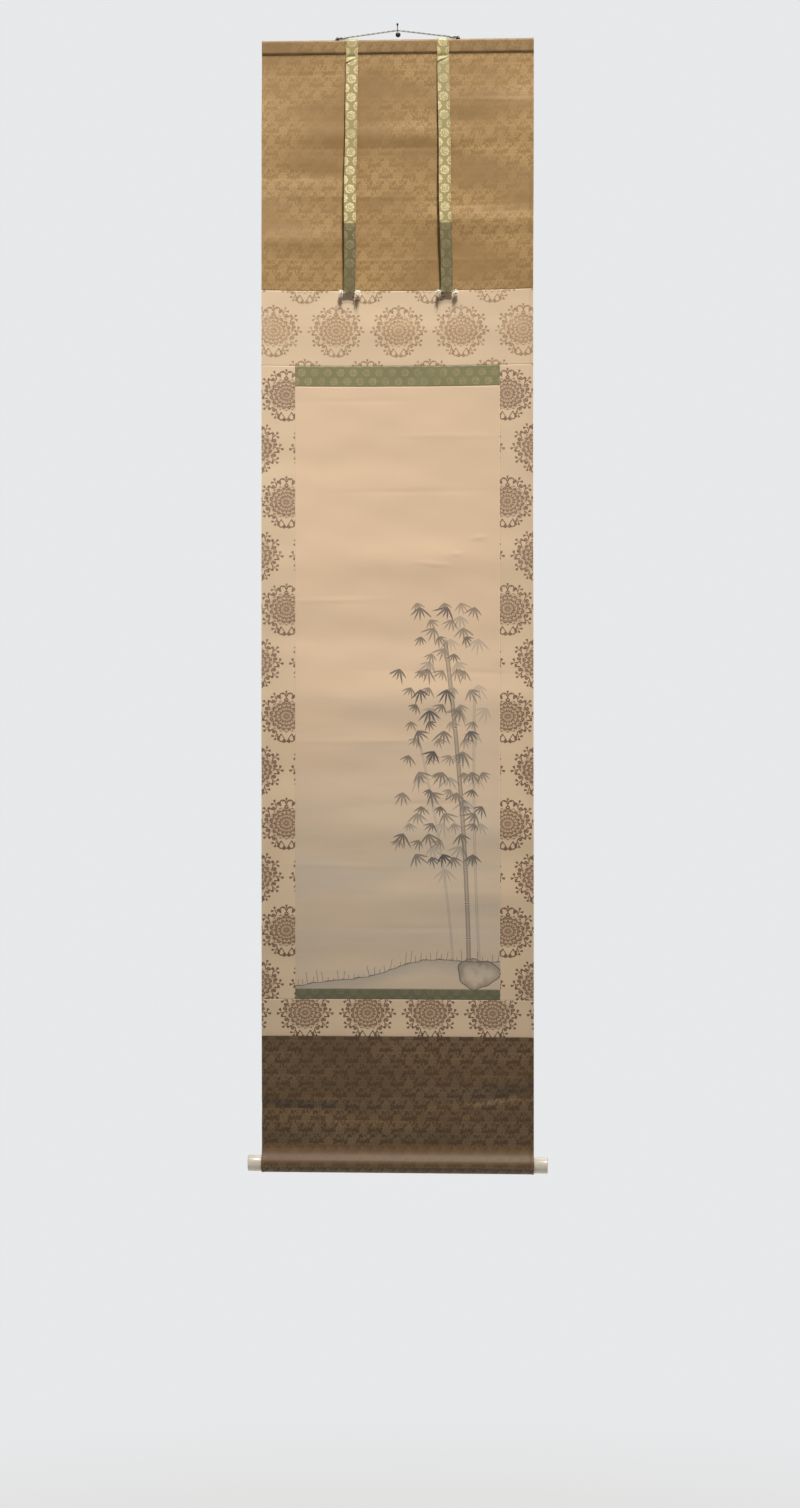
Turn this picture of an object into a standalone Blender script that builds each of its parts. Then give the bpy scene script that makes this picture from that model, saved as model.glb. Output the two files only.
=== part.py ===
"""Hanging scroll on a small wall hook, in metres.

The origin is the centre of the hook's flange on the wall. The wall is the plane Y = 0, the viewer
stands at -Y, and +Z is up. Sections are drawn in the Y-Z plane, with angles measured from +Y (towards
the wall) over +Z, so that 180 degrees points at the viewer.
"""

import math

import bmesh
import bpy
from mathutils import Vector

# Driving sizes of the mount
MOUNT_WIDTH = 0.450
PAINTING_WIDTH = 0.339
UPPER_PANEL_HEIGHT = 0.416
DAMASK_TOP_HEIGHT = 0.124
ACCENT_UPPER_HEIGHT = 0.034
PAINTING_HEIGHT = 0.996
ACCENT_LOWER_HEIGHT = 0.017
DAMASK_BOTTOM_HEIGHT = 0.061
LOWER_PANEL_HEIGHT = 0.226
CLOTH_THICKNESS = 0.0012
GAP = 0.0003
FLAP_GAP = 0.0004

# Where the scroll hangs
HANG_Y = -0.017
TOP_EDGE_Z = -0.0124

# Half-round stave in the top pocket
STAVE_HALF_HEIGHT = 0.01025
STAVE_CORNER = 0.002
STAVE_FRONT_FILLET = 0.0015
STAVE_BACK_FILLET = 0.003
STAVE_FLAP_LENGTH = 0.009

# Roller in the bottom pocket, with its knobs
ROLLER_RADIUS = 0.013
ROLLER_FRONT_FILLET = 0.030
ROLLER_BACK_FILLET = 0.012
ROLLER_FLAP_LENGTH = 0.012
TENON_RADIUS = 0.006
TENON_LENGTH = 0.014
KNOB_LENGTH = 0.0225
KNOB_RADIUS = 0.013
KNOB_ROUNDING = 0.0016

# Streamers: a tuck under the stave, then out to a crease and back in to the end
STREAMER_WIDTH = 0.0195
STREAMER_THICKNESS = 0.0010
STREAMER_X = MOUNT_WIDTH / 6
STREAMER_TAIL_ANGLE = 10
STREAMER_BOW = 0.8
STREAMER_POINTS = (
    # down from the top edge, out from the stave's front
    (0.0240, 0.0000),
    (0.0285, -0.0012),
    (0.0340, 0.0006),
)
STREAMER_CREASE = (0.306, 0.013)
STREAMER_END = (0.419, 0.005)
STREAMER_LEAN = {"left": -0.004, "right": 0.007}

# Tufts of thread at the streamers' lower corners
TUFT_HEAD_RADIUS = 0.0017
TUFT_REACH = 0.0062
TUFT_STRANDS = 14
TUFT_STEPS = 3
TUFT_TAPER = 0.8
TUFT_SAG = 0.16

# Eyelets and rings
EYELET_X = 0.100
SEAT_RADIUS = 0.0038
SEAT_THICKNESS = 0.0008
EYE_RADIUS = 0.0019
EYE_WIRE = 0.00055
SHANK_RADIUS = 0.0008
SHANK_LENGTH = 0.012
RING_RADIUS = 0.0036
RING_WIRE = 0.00075
RING_TILT = math.radians(4)

# Cord and its knots
CORD_RADIUS = 0.0015
CORD_STEPS = 26
CORD_PEAK_HALF = 0.006
KNOT_LOOP_INNER = 0.00125
KNOT_LOOP_OUTER = 0.0024
KNOT_LOOP_WIDTH = 0.0022
KNOT_TO_LOOP = 0.0036
KNOT_HALF_LENGTH = 0.0028
KNOT_HALF_HEIGHT = 0.0021

# Hook
HOOK_WIRE = 0.0008
HOOK_BEND = 0.0030
HOOK_TIP_Z = 0.0119
HOOK_TIP_RADIUS = 0.0017
HOOK_TIP_HALF_HEIGHT = 0.0025
FLANGE_RADIUS = 0.0042
FLANGE_THICKNESS = 0.0015
FLANGE_STEP = 0.0002

# Edge curl towards the viewer, by the distance below the scroll's top edge
CURL_POWER = 2.4
CURL_BY_DOWN = (
    # down, curl at the side edges
    (0.000, 0.000),
    (0.035, 0.000),
    (0.160, 0.008),
    (0.400, 0.019),
    (0.750, 0.020),
    (1.100, 0.014),
    (1.500, 0.008),
    (1.740, 0.002),
    (1.815, 0.000),
    (1.880, 0.000),
)

# Main folds of the cloth: soft ridges (out > 0) and troughs (out < 0)
FOLDS_START = 0.032
FOLDS_END = 1.832
FOLD_EASE = 0.020
FOLDS = (
    # down, across, half_length, half_height, out, slant
    (0.110, 0.120, 0.120, 0.018, 0.0012, 0.02),
    (0.158, -0.020, 0.170, 0.017, 0.0022, 0.00),
    (0.224, -0.160, 0.110, 0.015, -0.0016, 0.03),
    (0.301, 0.150, 0.120, 0.017, 0.0026, -0.04),
    (0.331, -0.150, 0.120, 0.017, 0.0020, 0.02),
    (0.480, 0.060, 0.160, 0.020, 0.0012, 0.00),
    (0.700, -0.100, 0.160, 0.026, -0.0012, 0.00),
    (0.860, 0.040, 0.230, 0.028, 0.0020, 0.02),
    (0.990, -0.060, 0.220, 0.028, -0.0018, -0.02),
    (1.092, 0.020, 0.260, 0.030, 0.0024, 0.01),
    (1.215, -0.080, 0.200, 0.028, -0.0016, 0.02),
    (1.307, 0.080, 0.220, 0.028, 0.0020, -0.02),
    (1.415, 0.120, 0.180, 0.026, 0.0022, 0.04),
    (1.520, -0.100, 0.200, 0.026, -0.0018, 0.00),
    (1.640, 0.000, 0.240, 0.020, 0.0016, 0.00),
    (1.721, 0.175, 0.090, 0.013, 0.0030, 0.10),
    (1.749, 0.150, 0.110, 0.012, -0.0030, 0.12),
    (1.773, -0.150, 0.130, 0.015, -0.0028, -0.05),
    (1.800, -0.040, 0.240, 0.013, 0.0020, -0.02),
)

# Sides of the round pieces, and the cells of the cloth
ROLLER_SIDES = 28
SMALL_SIDES = 14
WIRE_SIDES = 8
WIDE_COLUMNS = 14
MIDDLE_COLUMNS = 10
SIDE_COLUMNS = 3
STREAMER_COLUMNS = 2

# Places that follow from the sizes
HALF_WIDTH = MOUNT_WIDTH / 2
HALF_PAINTING = PAINTING_WIDTH / 2
CLOTH_OFFSET = GAP + CLOTH_THICKNESS / 2
STAVE_FRONT_Y = HANG_Y - STAVE_CORNER
STAVE_Z = TOP_EDGE_Z - CLOTH_THICKNESS - GAP - STAVE_HALF_HEIGHT
STAVE_CORNER_RISE = STAVE_HALF_HEIGHT - STAVE_CORNER
SHEET_Y = STAVE_FRONT_Y + STAVE_FRONT_FILLET
FLAP_Y = SHEET_Y + CLOTH_THICKNESS + FLAP_GAP
SEAM_1_Z = TOP_EDGE_Z - UPPER_PANEL_HEIGHT
SEAM_2_Z = SEAM_1_Z - DAMASK_TOP_HEIGHT
SEAM_3_Z = SEAM_2_Z - ACCENT_UPPER_HEIGHT
SEAM_4_Z = SEAM_3_Z - PAINTING_HEIGHT
SEAM_5_Z = SEAM_4_Z - ACCENT_LOWER_HEIGHT
SEAM_6_Z = SEAM_5_Z - DAMASK_BOTTOM_HEIGHT
BOTTOM_EDGE_Z = SEAM_6_Z - LOWER_PANEL_HEIGHT
ROLLER_Z = BOTTOM_EDGE_Z + CLOTH_THICKNESS + GAP + ROLLER_RADIUS
SEAT_Z = TOP_EDGE_Z + GAP
EYE_Z = SEAT_Z + SEAT_THICKNESS + EYE_RADIUS - EYE_WIRE
RING_TIP_X = EYELET_X - 2 * RING_RADIUS * math.cos(RING_TILT)
RING_TIP_Z = EYE_Z + 2 * RING_RADIUS * math.sin(RING_TILT)
CORD_PEAK_Z = HOOK_WIRE + GAP + CORD_RADIUS
CORD_SLOPE = (CORD_PEAK_Z - RING_TIP_Z) / RING_TIP_X
CORD_END_X = RING_TIP_X - KNOT_TO_LOOP - KNOT_HALF_LENGTH - GAP

PANELS = (
    # name, left, right, top, bottom, columns, rows, material
    ("damask_band_top", -HALF_WIDTH, HALF_WIDTH, SEAM_1_Z, SEAM_2_Z, WIDE_COLUMNS, 5, "damask"),
    ("damask_side_left", -HALF_WIDTH, -HALF_PAINTING - GAP, SEAM_2_Z, SEAM_5_Z, SIDE_COLUMNS, 40, "damask"),
    ("damask_side_right", HALF_PAINTING + GAP, HALF_WIDTH, SEAM_2_Z, SEAM_5_Z, SIDE_COLUMNS, 40, "damask"),
    ("accent_strip_upper", -HALF_PAINTING, HALF_PAINTING, SEAM_2_Z, SEAM_3_Z, MIDDLE_COLUMNS, 2, "brocade"),
    ("painting", -HALF_PAINTING, HALF_PAINTING, SEAM_3_Z, SEAM_4_Z, MIDDLE_COLUMNS, 38, "painted_silk"),
    ("accent_strip_lower", -HALF_PAINTING, HALF_PAINTING, SEAM_4_Z, SEAM_5_Z, MIDDLE_COLUMNS, 1, "brocade"),
    ("damask_band_bottom", -HALF_WIDTH, HALF_WIDTH, SEAM_5_Z, SEAM_6_Z, WIDE_COLUMNS, 3, "damask"),
)
UPPER_PANEL_ROWS = 16
LOWER_PANEL_ROWS = 12

MATERIALS = {
    # name: red, green, blue, roughness, metallic
    "painted_silk": (0.62, 0.50, 0.36, 0.75, 0.0),
    "brocade": (0.22, 0.26, 0.14, 0.65, 0.0),
    "damask": (0.62, 0.46, 0.31, 0.60, 0.0),
    "brown_silk": (0.27, 0.17, 0.08, 0.65, 0.0),
    "wood": (0.42, 0.27, 0.14, 0.60, 0.0),
    "knob": (0.84, 0.80, 0.70, 0.35, 0.0),
    "white_thread": (0.80, 0.77, 0.66, 0.80, 0.0),
    "cord_silk": (0.40, 0.40, 0.38, 0.80, 0.0),
    "dark_metal": (0.05, 0.05, 0.05, 0.40, 1.0),
}
SHARP_ANGLE = math.radians(35)


def clear_scene():
    for thing in list(bpy.data.objects):
        bpy.data.objects.remove(thing)


def material(name):
    found = bpy.data.materials.get(name)
    if found:
        return found
    red, green, blue, roughness, metallic = MATERIALS[name]
    made = bpy.data.materials.new(name)
    made.use_nodes = True
    shader = made.node_tree.nodes["Principled BSDF"]
    shader.inputs["Base Color"].default_value = (red, green, blue, 1.0)
    shader.inputs["Roughness"].default_value = roughness
    shader.inputs["Metallic"].default_value = metallic
    return made


def link(name, data, material_name):
    """An object made of a mesh or a curve, with its material."""
    data.materials.append(material(material_name))
    made = bpy.data.objects.new(name, data)
    bpy.context.scene.collection.objects.link(made)
    return made


def link_shape(name, shape, material_name):
    """An object made of a bmesh, with its faces turned outwards and its round sides smooth."""
    bmesh.ops.recalc_face_normals(shape, faces=shape.faces)
    mesh = bpy.data.meshes.new(name)
    shape.to_mesh(mesh)
    shape.free()
    mesh.shade_smooth()
    mesh.set_sharp_from_angle(angle=SHARP_ANGLE)
    return link(name, mesh, material_name)


def combine(target, tool, operation):
    """A Boolean of the target with a tool that isn't a piece of the object."""
    tool.hide_render = True
    tool.display_type = "WIRE"
    cut = target.modifiers.new(f"{operation}_{tool.name}", "BOOLEAN")
    cut.operation = operation
    cut.solver = "EXACT"
    cut.object = tool


def smoothstep(low, high, value):
    share = min(1.0, max(0.0, (value - low) / (high - low)))
    return share * share * (3 - 2 * share)


def curl_at(down):
    """How far the side edges stand forward at a distance below the top edge."""
    for (start, before), (end, after) in zip(CURL_BY_DOWN, CURL_BY_DOWN[1:]):
        if down <= end:
            return before + (after - before) * smoothstep(start, end, down)
    return 0.0


def fold_out(across, down):
    """How far the folds push the cloth towards the viewer."""
    total = 0.0
    for fold_down, fold_across, half_length, half_height, out, slant in FOLDS:
        along = (across - fold_across) / half_length
        off = (down - fold_down + slant * (across - fold_across)) / half_height
        total += out * math.exp(-along * along - off * off)
    total *= smoothstep(FOLDS_START, FOLDS_START + FOLD_EASE, down)
    return total * (1 - smoothstep(FOLDS_END - FOLD_EASE, FOLDS_END, down))


def hang(across, y, z):
    """Moves a point of the flat cloth to where it hangs, with its side edges curled forward."""
    down = TOP_EDGE_Z - z
    share = abs(across) / HALF_WIDTH
    curl = curl_at(down)
    rate = 2 * CURL_POWER - 1
    pulled_in = 0.5 * (curl * CURL_POWER) ** 2 / HALF_WIDTH * share**rate / rate
    x = across - math.copysign(pulled_in, across)
    return Vector((x, y - curl * share**CURL_POWER - fold_out(across, down), z))


def arc(centre, radius, start, end, steps):
    """Points of an arc in the Y-Z plane, both ends included, with its angles in degrees."""
    angles = [math.radians(start + (end - start) * i / steps) for i in range(steps + 1)]
    return [(centre[0] + radius * math.cos(a), centre[1] + radius * math.sin(a)) for a in angles]


def line(start, end, steps):
    """Points of a straight line in the Y-Z plane, without its first one."""
    shares = [i / steps for i in range(1, steps + 1)]
    return [(start[0] + (end[0] - start[0]) * s, start[1] + (end[1] - start[1]) * s) for s in shares]


def fillet_between(centre, radius, plane_y, fillet, above):
    """The centre of a fillet that touches an upright plane and a circle, and the direction in degrees
    from the circle's centre to it. The fillet lies in front of the plane if its radius is negative."""
    fillet_y = plane_y + fillet
    rise = math.sqrt((radius + abs(fillet)) ** 2 - (fillet_y - centre[0]) ** 2)
    fillet_z = centre[1] + (rise if above else -rise)
    towards = math.degrees(math.atan2(fillet_z - centre[1], fillet_y - centre[0]))
    return (fillet_y, fillet_z), towards


def offset_path(path, distance):
    """The path moved sideways, to its left as it runs."""
    moved = []
    for i, (y, z) in enumerate(path):
        before = path[max(i - 1, 0)]
        after = path[min(i + 1, len(path) - 1)]
        run_y, run_z = after[0] - before[0], after[1] - before[1]
        length = math.hypot(run_y, run_z)
        moved.append((y - run_z / length * distance, z + run_y / length * distance))
    return moved


def cloth(name, path, left, right, columns, material_name, thickness=CLOTH_THICKNESS, shape_at=hang):
    """A cloth of even thickness that follows a path in the Y-Z plane from its left to its right edge."""
    faces = [offset_path(path, thickness / 2), offset_path(path, -thickness / 2)]
    outline = faces[0] + faces[1][::-1]
    shape = bmesh.new()
    rims = []
    for column in range(columns + 1):
        across = left + (right - left) * column / columns
        rims.append([shape.verts.new(shape_at(across, y, z)) for y, z in outline])
    count = len(outline)
    for rim, following in zip(rims, rims[1:]):
        for i in range(count):
            after = (i + 1) % count
            shape.faces.new((rim[i], following[i], following[after], rim[after]))
    for rim in (rims[0], rims[-1]):
        for i in range(len(path) - 1):
            shape.faces.new((rim[i], rim[i + 1], rim[count - 2 - i], rim[count - 1 - i]))
    return link_shape(name, shape, material_name)


def turned(name, outline, material_name, sides):
    """A solid turned about the X axis from (along, radius) points. The outline either starts and ends
    on the axis or comes back to its first point."""
    shape = bmesh.new()
    closed = outline[0] == outline[-1]
    corners = [shape.verts.new((along, 0, radius)) for along, radius in outline[: -1 if closed else None]]
    ends = corners[1:] + corners[:1] if closed else corners[1:]
    edges = [shape.edges.new(pair) for pair in zip(corners, ends)]
    axis = {"cent": (0, 0, 0), "axis": (1, 0, 0), "angle": math.tau}
    bmesh.ops.spin(shape, geom=corners + edges, steps=sides, use_merge=True, **axis)
    bmesh.ops.remove_doubles(shape, verts=shape.verts, dist=1e-7)
    return link_shape(name, shape, material_name)


def ring(name, radius, wire, sides, material_name):
    """A wire ring in its own X-Y plane."""
    shape = bmesh.new()
    turns = [math.tau * k / WIRE_SIDES for k in range(WIRE_SIDES)]
    corners = [shape.verts.new((radius + wire * math.cos(t), 0, wire * math.sin(t))) for t in turns]
    edges = [shape.edges.new(pair) for pair in zip(corners, corners[1:] + corners[:1])]
    axis = {"cent": (0, 0, 0), "axis": (0, 0, 1), "angle": math.tau}
    bmesh.ops.spin(shape, geom=corners + edges, steps=sides, use_merge=True, **axis)
    return link_shape(name, shape, material_name)


def bar(name, points, radii, resolution, material_name):
    """A round bar or cord along a polyline, with its radius at each point and filled ends."""
    curve = bpy.data.curves.new(name, "CURVE")
    curve.dimensions = "3D"
    curve.bevel_depth = radii[0]
    curve.bevel_resolution = resolution
    curve.use_fill_caps = True
    spline = curve.splines.new("POLY")
    spline.points.add(len(points) - 1)
    for knot, point, radius in zip(spline.points, points, radii):
        knot.co = (*point, 1)
        knot.radius = radius / radii[0]
    return link(name, curve, material_name)


def upper_panel_path():
    """From the seam up the front, round the stave and down behind it to the pasted flap."""
    low_corner = (HANG_Y, STAVE_Z - STAVE_CORNER_RISE)
    high_corner = (HANG_Y, STAVE_Z + STAVE_CORNER_RISE)
    corner = STAVE_CORNER + CLOTH_OFFSET
    back = STAVE_HALF_HEIGHT + CLOTH_OFFSET
    front_fillet, front_way = fillet_between(low_corner, corner, SHEET_Y, -STAVE_FRONT_FILLET, above=False)
    back_fillet, back_way = fillet_between((HANG_Y, STAVE_Z), back, FLAP_Y, STAVE_BACK_FILLET, above=False)
    path = [(SHEET_Y, SEAM_1_Z)]
    path += line(path[0], (SHEET_Y, front_fillet[1]), UPPER_PANEL_ROWS)
    path += arc(front_fillet, STAVE_FRONT_FILLET, 0, front_way + 180, 2)[1:]
    path += arc(low_corner, corner, front_way + 360, 180, 2)[1:]
    path += arc(high_corner, corner, 180, 90, 3)
    path += arc((HANG_Y, STAVE_Z), back, 90, back_way, 9)[1:]
    path += arc(back_fillet, STAVE_BACK_FILLET, back_way + 180, 180, 2)[1:]
    path += [(FLAP_Y, back_fillet[1] - STAVE_FLAP_LENGTH)]
    return path


def lower_panel_path():
    """From the roller's pasted flap round behind, under and in front of it, and up to the seam."""
    centre = (SHEET_Y, ROLLER_Z)
    wrap = ROLLER_RADIUS + CLOTH_OFFSET
    front_fillet, front_way = fillet_between(centre, wrap, SHEET_Y, -ROLLER_FRONT_FILLET, above=True)
    back_fillet, back_way = fillet_between(centre, wrap, FLAP_Y, ROLLER_BACK_FILLET, above=True)
    path = [(FLAP_Y, back_fillet[1] + ROLLER_FLAP_LENGTH)]
    path += arc(back_fillet, ROLLER_BACK_FILLET, 180, back_way + 180, 3)
    path += arc(centre, wrap, back_way + 360, front_way, 18)[1:]
    path += arc(front_fillet, ROLLER_FRONT_FILLET, front_way - 180, 0, 4)[1:]
    path += line(path[-1], (SHEET_Y, SEAM_6_Z - GAP), LOWER_PANEL_ROWS)
    return path


def make_panels():
    cloth("upper_panel", upper_panel_path(), -HALF_WIDTH, HALF_WIDTH, WIDE_COLUMNS, "brown_silk")
    cloth("lower_panel", lower_panel_path(), -HALF_WIDTH, HALF_WIDTH, WIDE_COLUMNS, "brown_silk")
    for name, left, right, top, bottom, columns, rows, material_name in PANELS:
        start = (SHEET_Y, bottom)
        path = [start] + line(start, (SHEET_Y, top - GAP), rows)
        cloth(name, path, left, right, columns, material_name)


def make_stave():
    """Half-round stave with rounded front corners."""
    outline = arc((HANG_Y, STAVE_Z - STAVE_CORNER_RISE), STAVE_CORNER, 270, 180, 2)
    outline += arc((HANG_Y, STAVE_Z + STAVE_CORNER_RISE), STAVE_CORNER, 180, 90, 2)
    outline += arc((HANG_Y, STAVE_Z), STAVE_HALF_HEIGHT, 90, -90, 12)[1:-1]
    half = HALF_WIDTH - GAP
    shape = bmesh.new()
    end = shape.faces.new([shape.verts.new((-half, y, z)) for y, z in outline])
    grown = bmesh.ops.extrude_face_region(shape, geom=[end], use_keep_orig=True)
    far = [piece for piece in grown["geom"] if isinstance(piece, bmesh.types.BMVert)]
    bmesh.ops.translate(shape, verts=far, vec=(2 * half, 0, 0))
    return link_shape("top_rod", shape, "wood")


def make_roller():
    """Round roller with a tenon at each end."""
    tip = HALF_WIDTH + TENON_LENGTH
    outline = [(-tip, 0), (-tip, TENON_RADIUS), (-HALF_WIDTH, TENON_RADIUS), (-HALF_WIDTH, ROLLER_RADIUS)]
    outline += [(-along, radius) for along, radius in outline[::-1]]
    roller = turned("bottom_rod", outline, "wood", ROLLER_SIDES)
    roller.location = (0, SHEET_Y, ROLLER_Z)


def make_knobs():
    """Turned knobs: a socket for the tenon, a straight side and a rounded rim."""
    socket = TENON_RADIUS + GAP
    rim = (KNOB_LENGTH - KNOB_ROUNDING, KNOB_RADIUS - KNOB_ROUNDING)
    outline = [(TENON_LENGTH, 0), (TENON_LENGTH, socket), (0, socket)]
    outline += [(0, KNOB_RADIUS - KNOB_ROUNDING / 2), (KNOB_ROUNDING / 2, KNOB_RADIUS)]
    outline += arc(rim, KNOB_ROUNDING, 90, 0, 3) + [(KNOB_LENGTH, 0)]
    for side, sign in (("left", -1), ("right", 1)):
        knob = turned(f"rod_knob_{side}", outline, "knob", ROLLER_SIDES)
        knob.location = (sign * (HALF_WIDTH + GAP), SHEET_Y, ROLLER_Z)
        knob.rotation_euler = (0, 0, 0 if sign > 0 else math.pi)


def streamer_path():
    """From behind the stave over its top, down its front, out to the crease and back in to the end."""
    offset = 2 * GAP + CLOTH_THICKNESS + STREAMER_THICKNESS / 2
    front_y = STAVE_FRONT_Y - offset
    path = arc((HANG_Y, STAVE_Z), STAVE_HALF_HEIGHT + offset, STREAMER_TAIL_ANGLE, 90, 5)
    path += arc((HANG_Y, STAVE_Z + STAVE_CORNER_RISE), STAVE_CORNER + offset, 90, 180, 3)[1:]
    path += [(front_y - out, TOP_EDGE_Z - down) for down, out in STREAMER_POINTS]
    start_down, start_out = STREAMER_POINTS[-1]
    crease_down, crease_out = STREAMER_CREASE
    steps = 8
    for i in range(1, steps + 1):
        share = i / steps
        out = start_out + (crease_out - start_out) * share**STREAMER_BOW
        path.append((front_y - out, TOP_EDGE_Z - start_down - (crease_down - start_down) * share))
    end_down, end_out = STREAMER_END
    return path + line(path[-1], (front_y - end_out, TOP_EDGE_Z - end_down), 4)


def make_streamers():
    for side, sign in (("left", -1), ("right", 1)):
        lean = STREAMER_LEAN[side] / STREAMER_END[0]
        left = sign * STREAMER_X - STREAMER_WIDTH / 2

        def leaning(across, y, z, lean=lean):
            return Vector((across + lean * (TOP_EDGE_Z - z), y, z))

        cloth(
            f"streamer_{side}",
            streamer_path(),
            left,
            left + STREAMER_WIDTH,
            STREAMER_COLUMNS,
            "brocade",
            STREAMER_THICKNESS,
            leaning,
        )


def tuft(name, place, sign):
    """Loose ends of thread fused at their roots into a small bead."""
    shape = bmesh.new()
    bmesh.ops.create_icosphere(shape, subdivisions=2, radius=TUFT_HEAD_RADIUS)
    towards = Vector((sign * 0.75, -0.25, -0.55)).normalized()
    ranked = sorted(shape.faces, key=lambda face: -face.normal.dot(towards))
    for number, root in enumerate(ranked[: 2 * TUFT_STRANDS : 2]):
        bmesh.ops.inset_individual(shape, faces=[root], thickness=TUFT_HEAD_RADIUS * 0.06)
        way = (root.normal + towards * TUFT_TAPER).normalized()
        length = TUFT_REACH * (0.78 + 0.22 * math.sin(2.4 * number))
        tip = root
        for step in range(TUFT_STEPS):
            tip = bmesh.ops.extrude_discrete_faces(shape, faces=[tip])["faces"][0]
            drooping = (way - Vector((0, 0, TUFT_SAG * (step + 1)))).normalized()
            bmesh.ops.translate(shape, verts=tip.verts, vec=drooping * length / TUFT_STEPS)
            middle = tip.calc_center_median()
            for vert in tip.verts:
                vert.co = middle + (vert.co - middle) * TUFT_TAPER
    made = link_shape(name, shape, "white_thread")
    made.location = place


def make_tufts():
    end_y, end_z = streamer_path()[-1]
    clear = STREAMER_WIDTH / 2 + TUFT_HEAD_RADIUS + GAP
    for side, sign in (("left", -1), ("right", 1)):
        middle = sign * STREAMER_X + STREAMER_LEAN[side]
        for edge, way in (("outer", sign), ("inner", -sign)):
            place = (middle + way * clear, end_y, end_z + TUFT_HEAD_RADIUS)
            tuft(f"tuft_{side}_{edge}", place, way)


def make_eyelets():
    """Seat plate and shank turned about an upright axis, with the eye joined on top."""
    outline = [(-SHANK_LENGTH, 0), (-SHANK_LENGTH, SHANK_RADIUS), (0, SHANK_RADIUS), (0, SEAT_RADIUS)]
    outline += [(SEAT_THICKNESS / 2, SEAT_RADIUS), (SEAT_THICKNESS, SEAT_RADIUS * 0.8), (SEAT_THICKNESS, 0)]
    for side, sign in (("left", -1), ("right", 1)):
        eyelet = turned(f"eyelet_{side}", outline, "dark_metal", SMALL_SIDES)
        eyelet.rotation_euler = (0, -math.pi / 2, 0)
        eyelet.location = (sign * EYELET_X, HANG_Y, SEAT_Z)
        eye = ring(f"eye_tool_{side}", EYE_RADIUS, EYE_WIRE, SMALL_SIDES, "dark_metal")
        eye.rotation_euler = (math.pi / 2, 0, 0)
        eye.location = (sign * EYELET_X, HANG_Y, EYE_Z)
        combine(eyelet, eye, "UNION")


def drill_shank_holes():
    """Bores for the eyelets' shanks, through the cloth and into the stave."""
    depth = SHANK_LENGTH + GAP
    bore = SHANK_RADIUS + GAP
    above = 2 * CLOTH_THICKNESS
    outline = [(-depth, 0), (-depth, bore), (above, bore), (above, 0)]
    for side, sign in (("left", -1), ("right", 1)):
        drill = turned(f"shank_drill_{side}", outline, "dark_metal", SMALL_SIDES)
        drill.rotation_euler = (0, -math.pi / 2, 0)
        drill.location = (sign * EYELET_X, HANG_Y, SEAT_Z)
        for target in ("upper_panel", "top_rod"):
            combine(bpy.data.objects[target], drill, "DIFFERENCE")


def make_rings():
    """Rings that pass through the eyes and lie inwards, with their free side up a little."""
    middle = ((EYELET_X + RING_TIP_X) / 2, (EYE_Z + RING_TIP_Z) / 2)
    for side, sign in (("left", -1), ("right", 1)):
        made = ring(f"ring_{side}", RING_RADIUS, RING_WIRE, 20, "dark_metal")
        made.location = (sign * middle[0], HANG_Y, middle[1])
        made.rotation_euler = (0, sign * RING_TILT, 0)


def make_knots():
    """A loop of cord round each ring's wire, joined to the round body of the knot."""
    half = KNOT_LOOP_WIDTH / 2
    outline = [(-half, KNOT_LOOP_INNER), (-half, KNOT_LOOP_OUTER), (half, KNOT_LOOP_OUTER)]
    outline += [(half, KNOT_LOOP_INNER), (-half, KNOT_LOOP_INNER)]
    for side, sign in (("left", -1), ("right", 1)):
        shape = bmesh.new()
        bmesh.ops.create_uvsphere(shape, u_segments=SMALL_SIDES, v_segments=8, radius=KNOT_HALF_HEIGHT)
        stretch = Vector((KNOT_HALF_LENGTH / KNOT_HALF_HEIGHT, 1, 1))
        bmesh.ops.scale(shape, verts=shape.verts, vec=stretch)
        knot = link_shape(f"cord_knot_{side}", shape, "cord_silk")
        knot_z = RING_TIP_Z + CORD_SLOPE * KNOT_TO_LOOP
        knot.location = (sign * (RING_TIP_X - KNOT_TO_LOOP), HANG_Y, knot_z)
        knot.rotation_euler = (0, sign * math.atan(CORD_SLOPE), 0)
        loop = turned(f"loop_tool_{side}", outline, "cord_silk", SMALL_SIDES)
        loop.rotation_euler = (0, 0, math.pi / 2)
        loop.location = (sign * RING_TIP_X, HANG_Y, RING_TIP_Z)
        combine(knot, loop, "UNION")


def cord_height(x):
    """Centreline of the taut cord: straight from each knot, and rounded over the hook's wire."""
    reach = abs(x)
    if reach > CORD_PEAK_HALF:
        return CORD_PEAK_Z - CORD_SLOPE * (reach - CORD_PEAK_HALF / 2)
    return CORD_PEAK_Z - CORD_SLOPE * reach**2 / (2 * CORD_PEAK_HALF)


def make_cord():
    across = [CORD_END_X * (2 * i / CORD_STEPS - 1) for i in range(CORD_STEPS + 1)]
    points = [(x, HANG_Y, cord_height(x)) for x in across]
    bar("hanging_cord", points, [CORD_RADIUS] * len(points), 2, "cord_silk")


def make_hook():
    """Flange on the wall, straight shank, upward bend that holds the cord, and a drop-shaped tip."""
    tip_y = HANG_Y - HOOK_BEND
    section = [(0, 0), (-FLANGE_THICKNESS, 0), (-FLANGE_THICKNESS - FLANGE_STEP, 0)]
    radii = [FLANGE_RADIUS, FLANGE_RADIUS, HOOK_WIRE]
    bend = arc((HANG_Y, HOOK_BEND), HOOK_BEND, 270, 180, 6)
    section += bend
    radii += [HOOK_WIRE] * len(bend)
    for angle in (-60, -35, -10, 15, 40, 65, 80):
        turn = math.radians(angle)
        section.append((tip_y, HOOK_TIP_Z + HOOK_TIP_HALF_HEIGHT * math.sin(turn)))
        radii.append(HOOK_TIP_RADIUS * math.cos(turn))
    bar("wall_hook", [(0, y, z) for y, z in section], radii, 4, "dark_metal")


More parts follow.
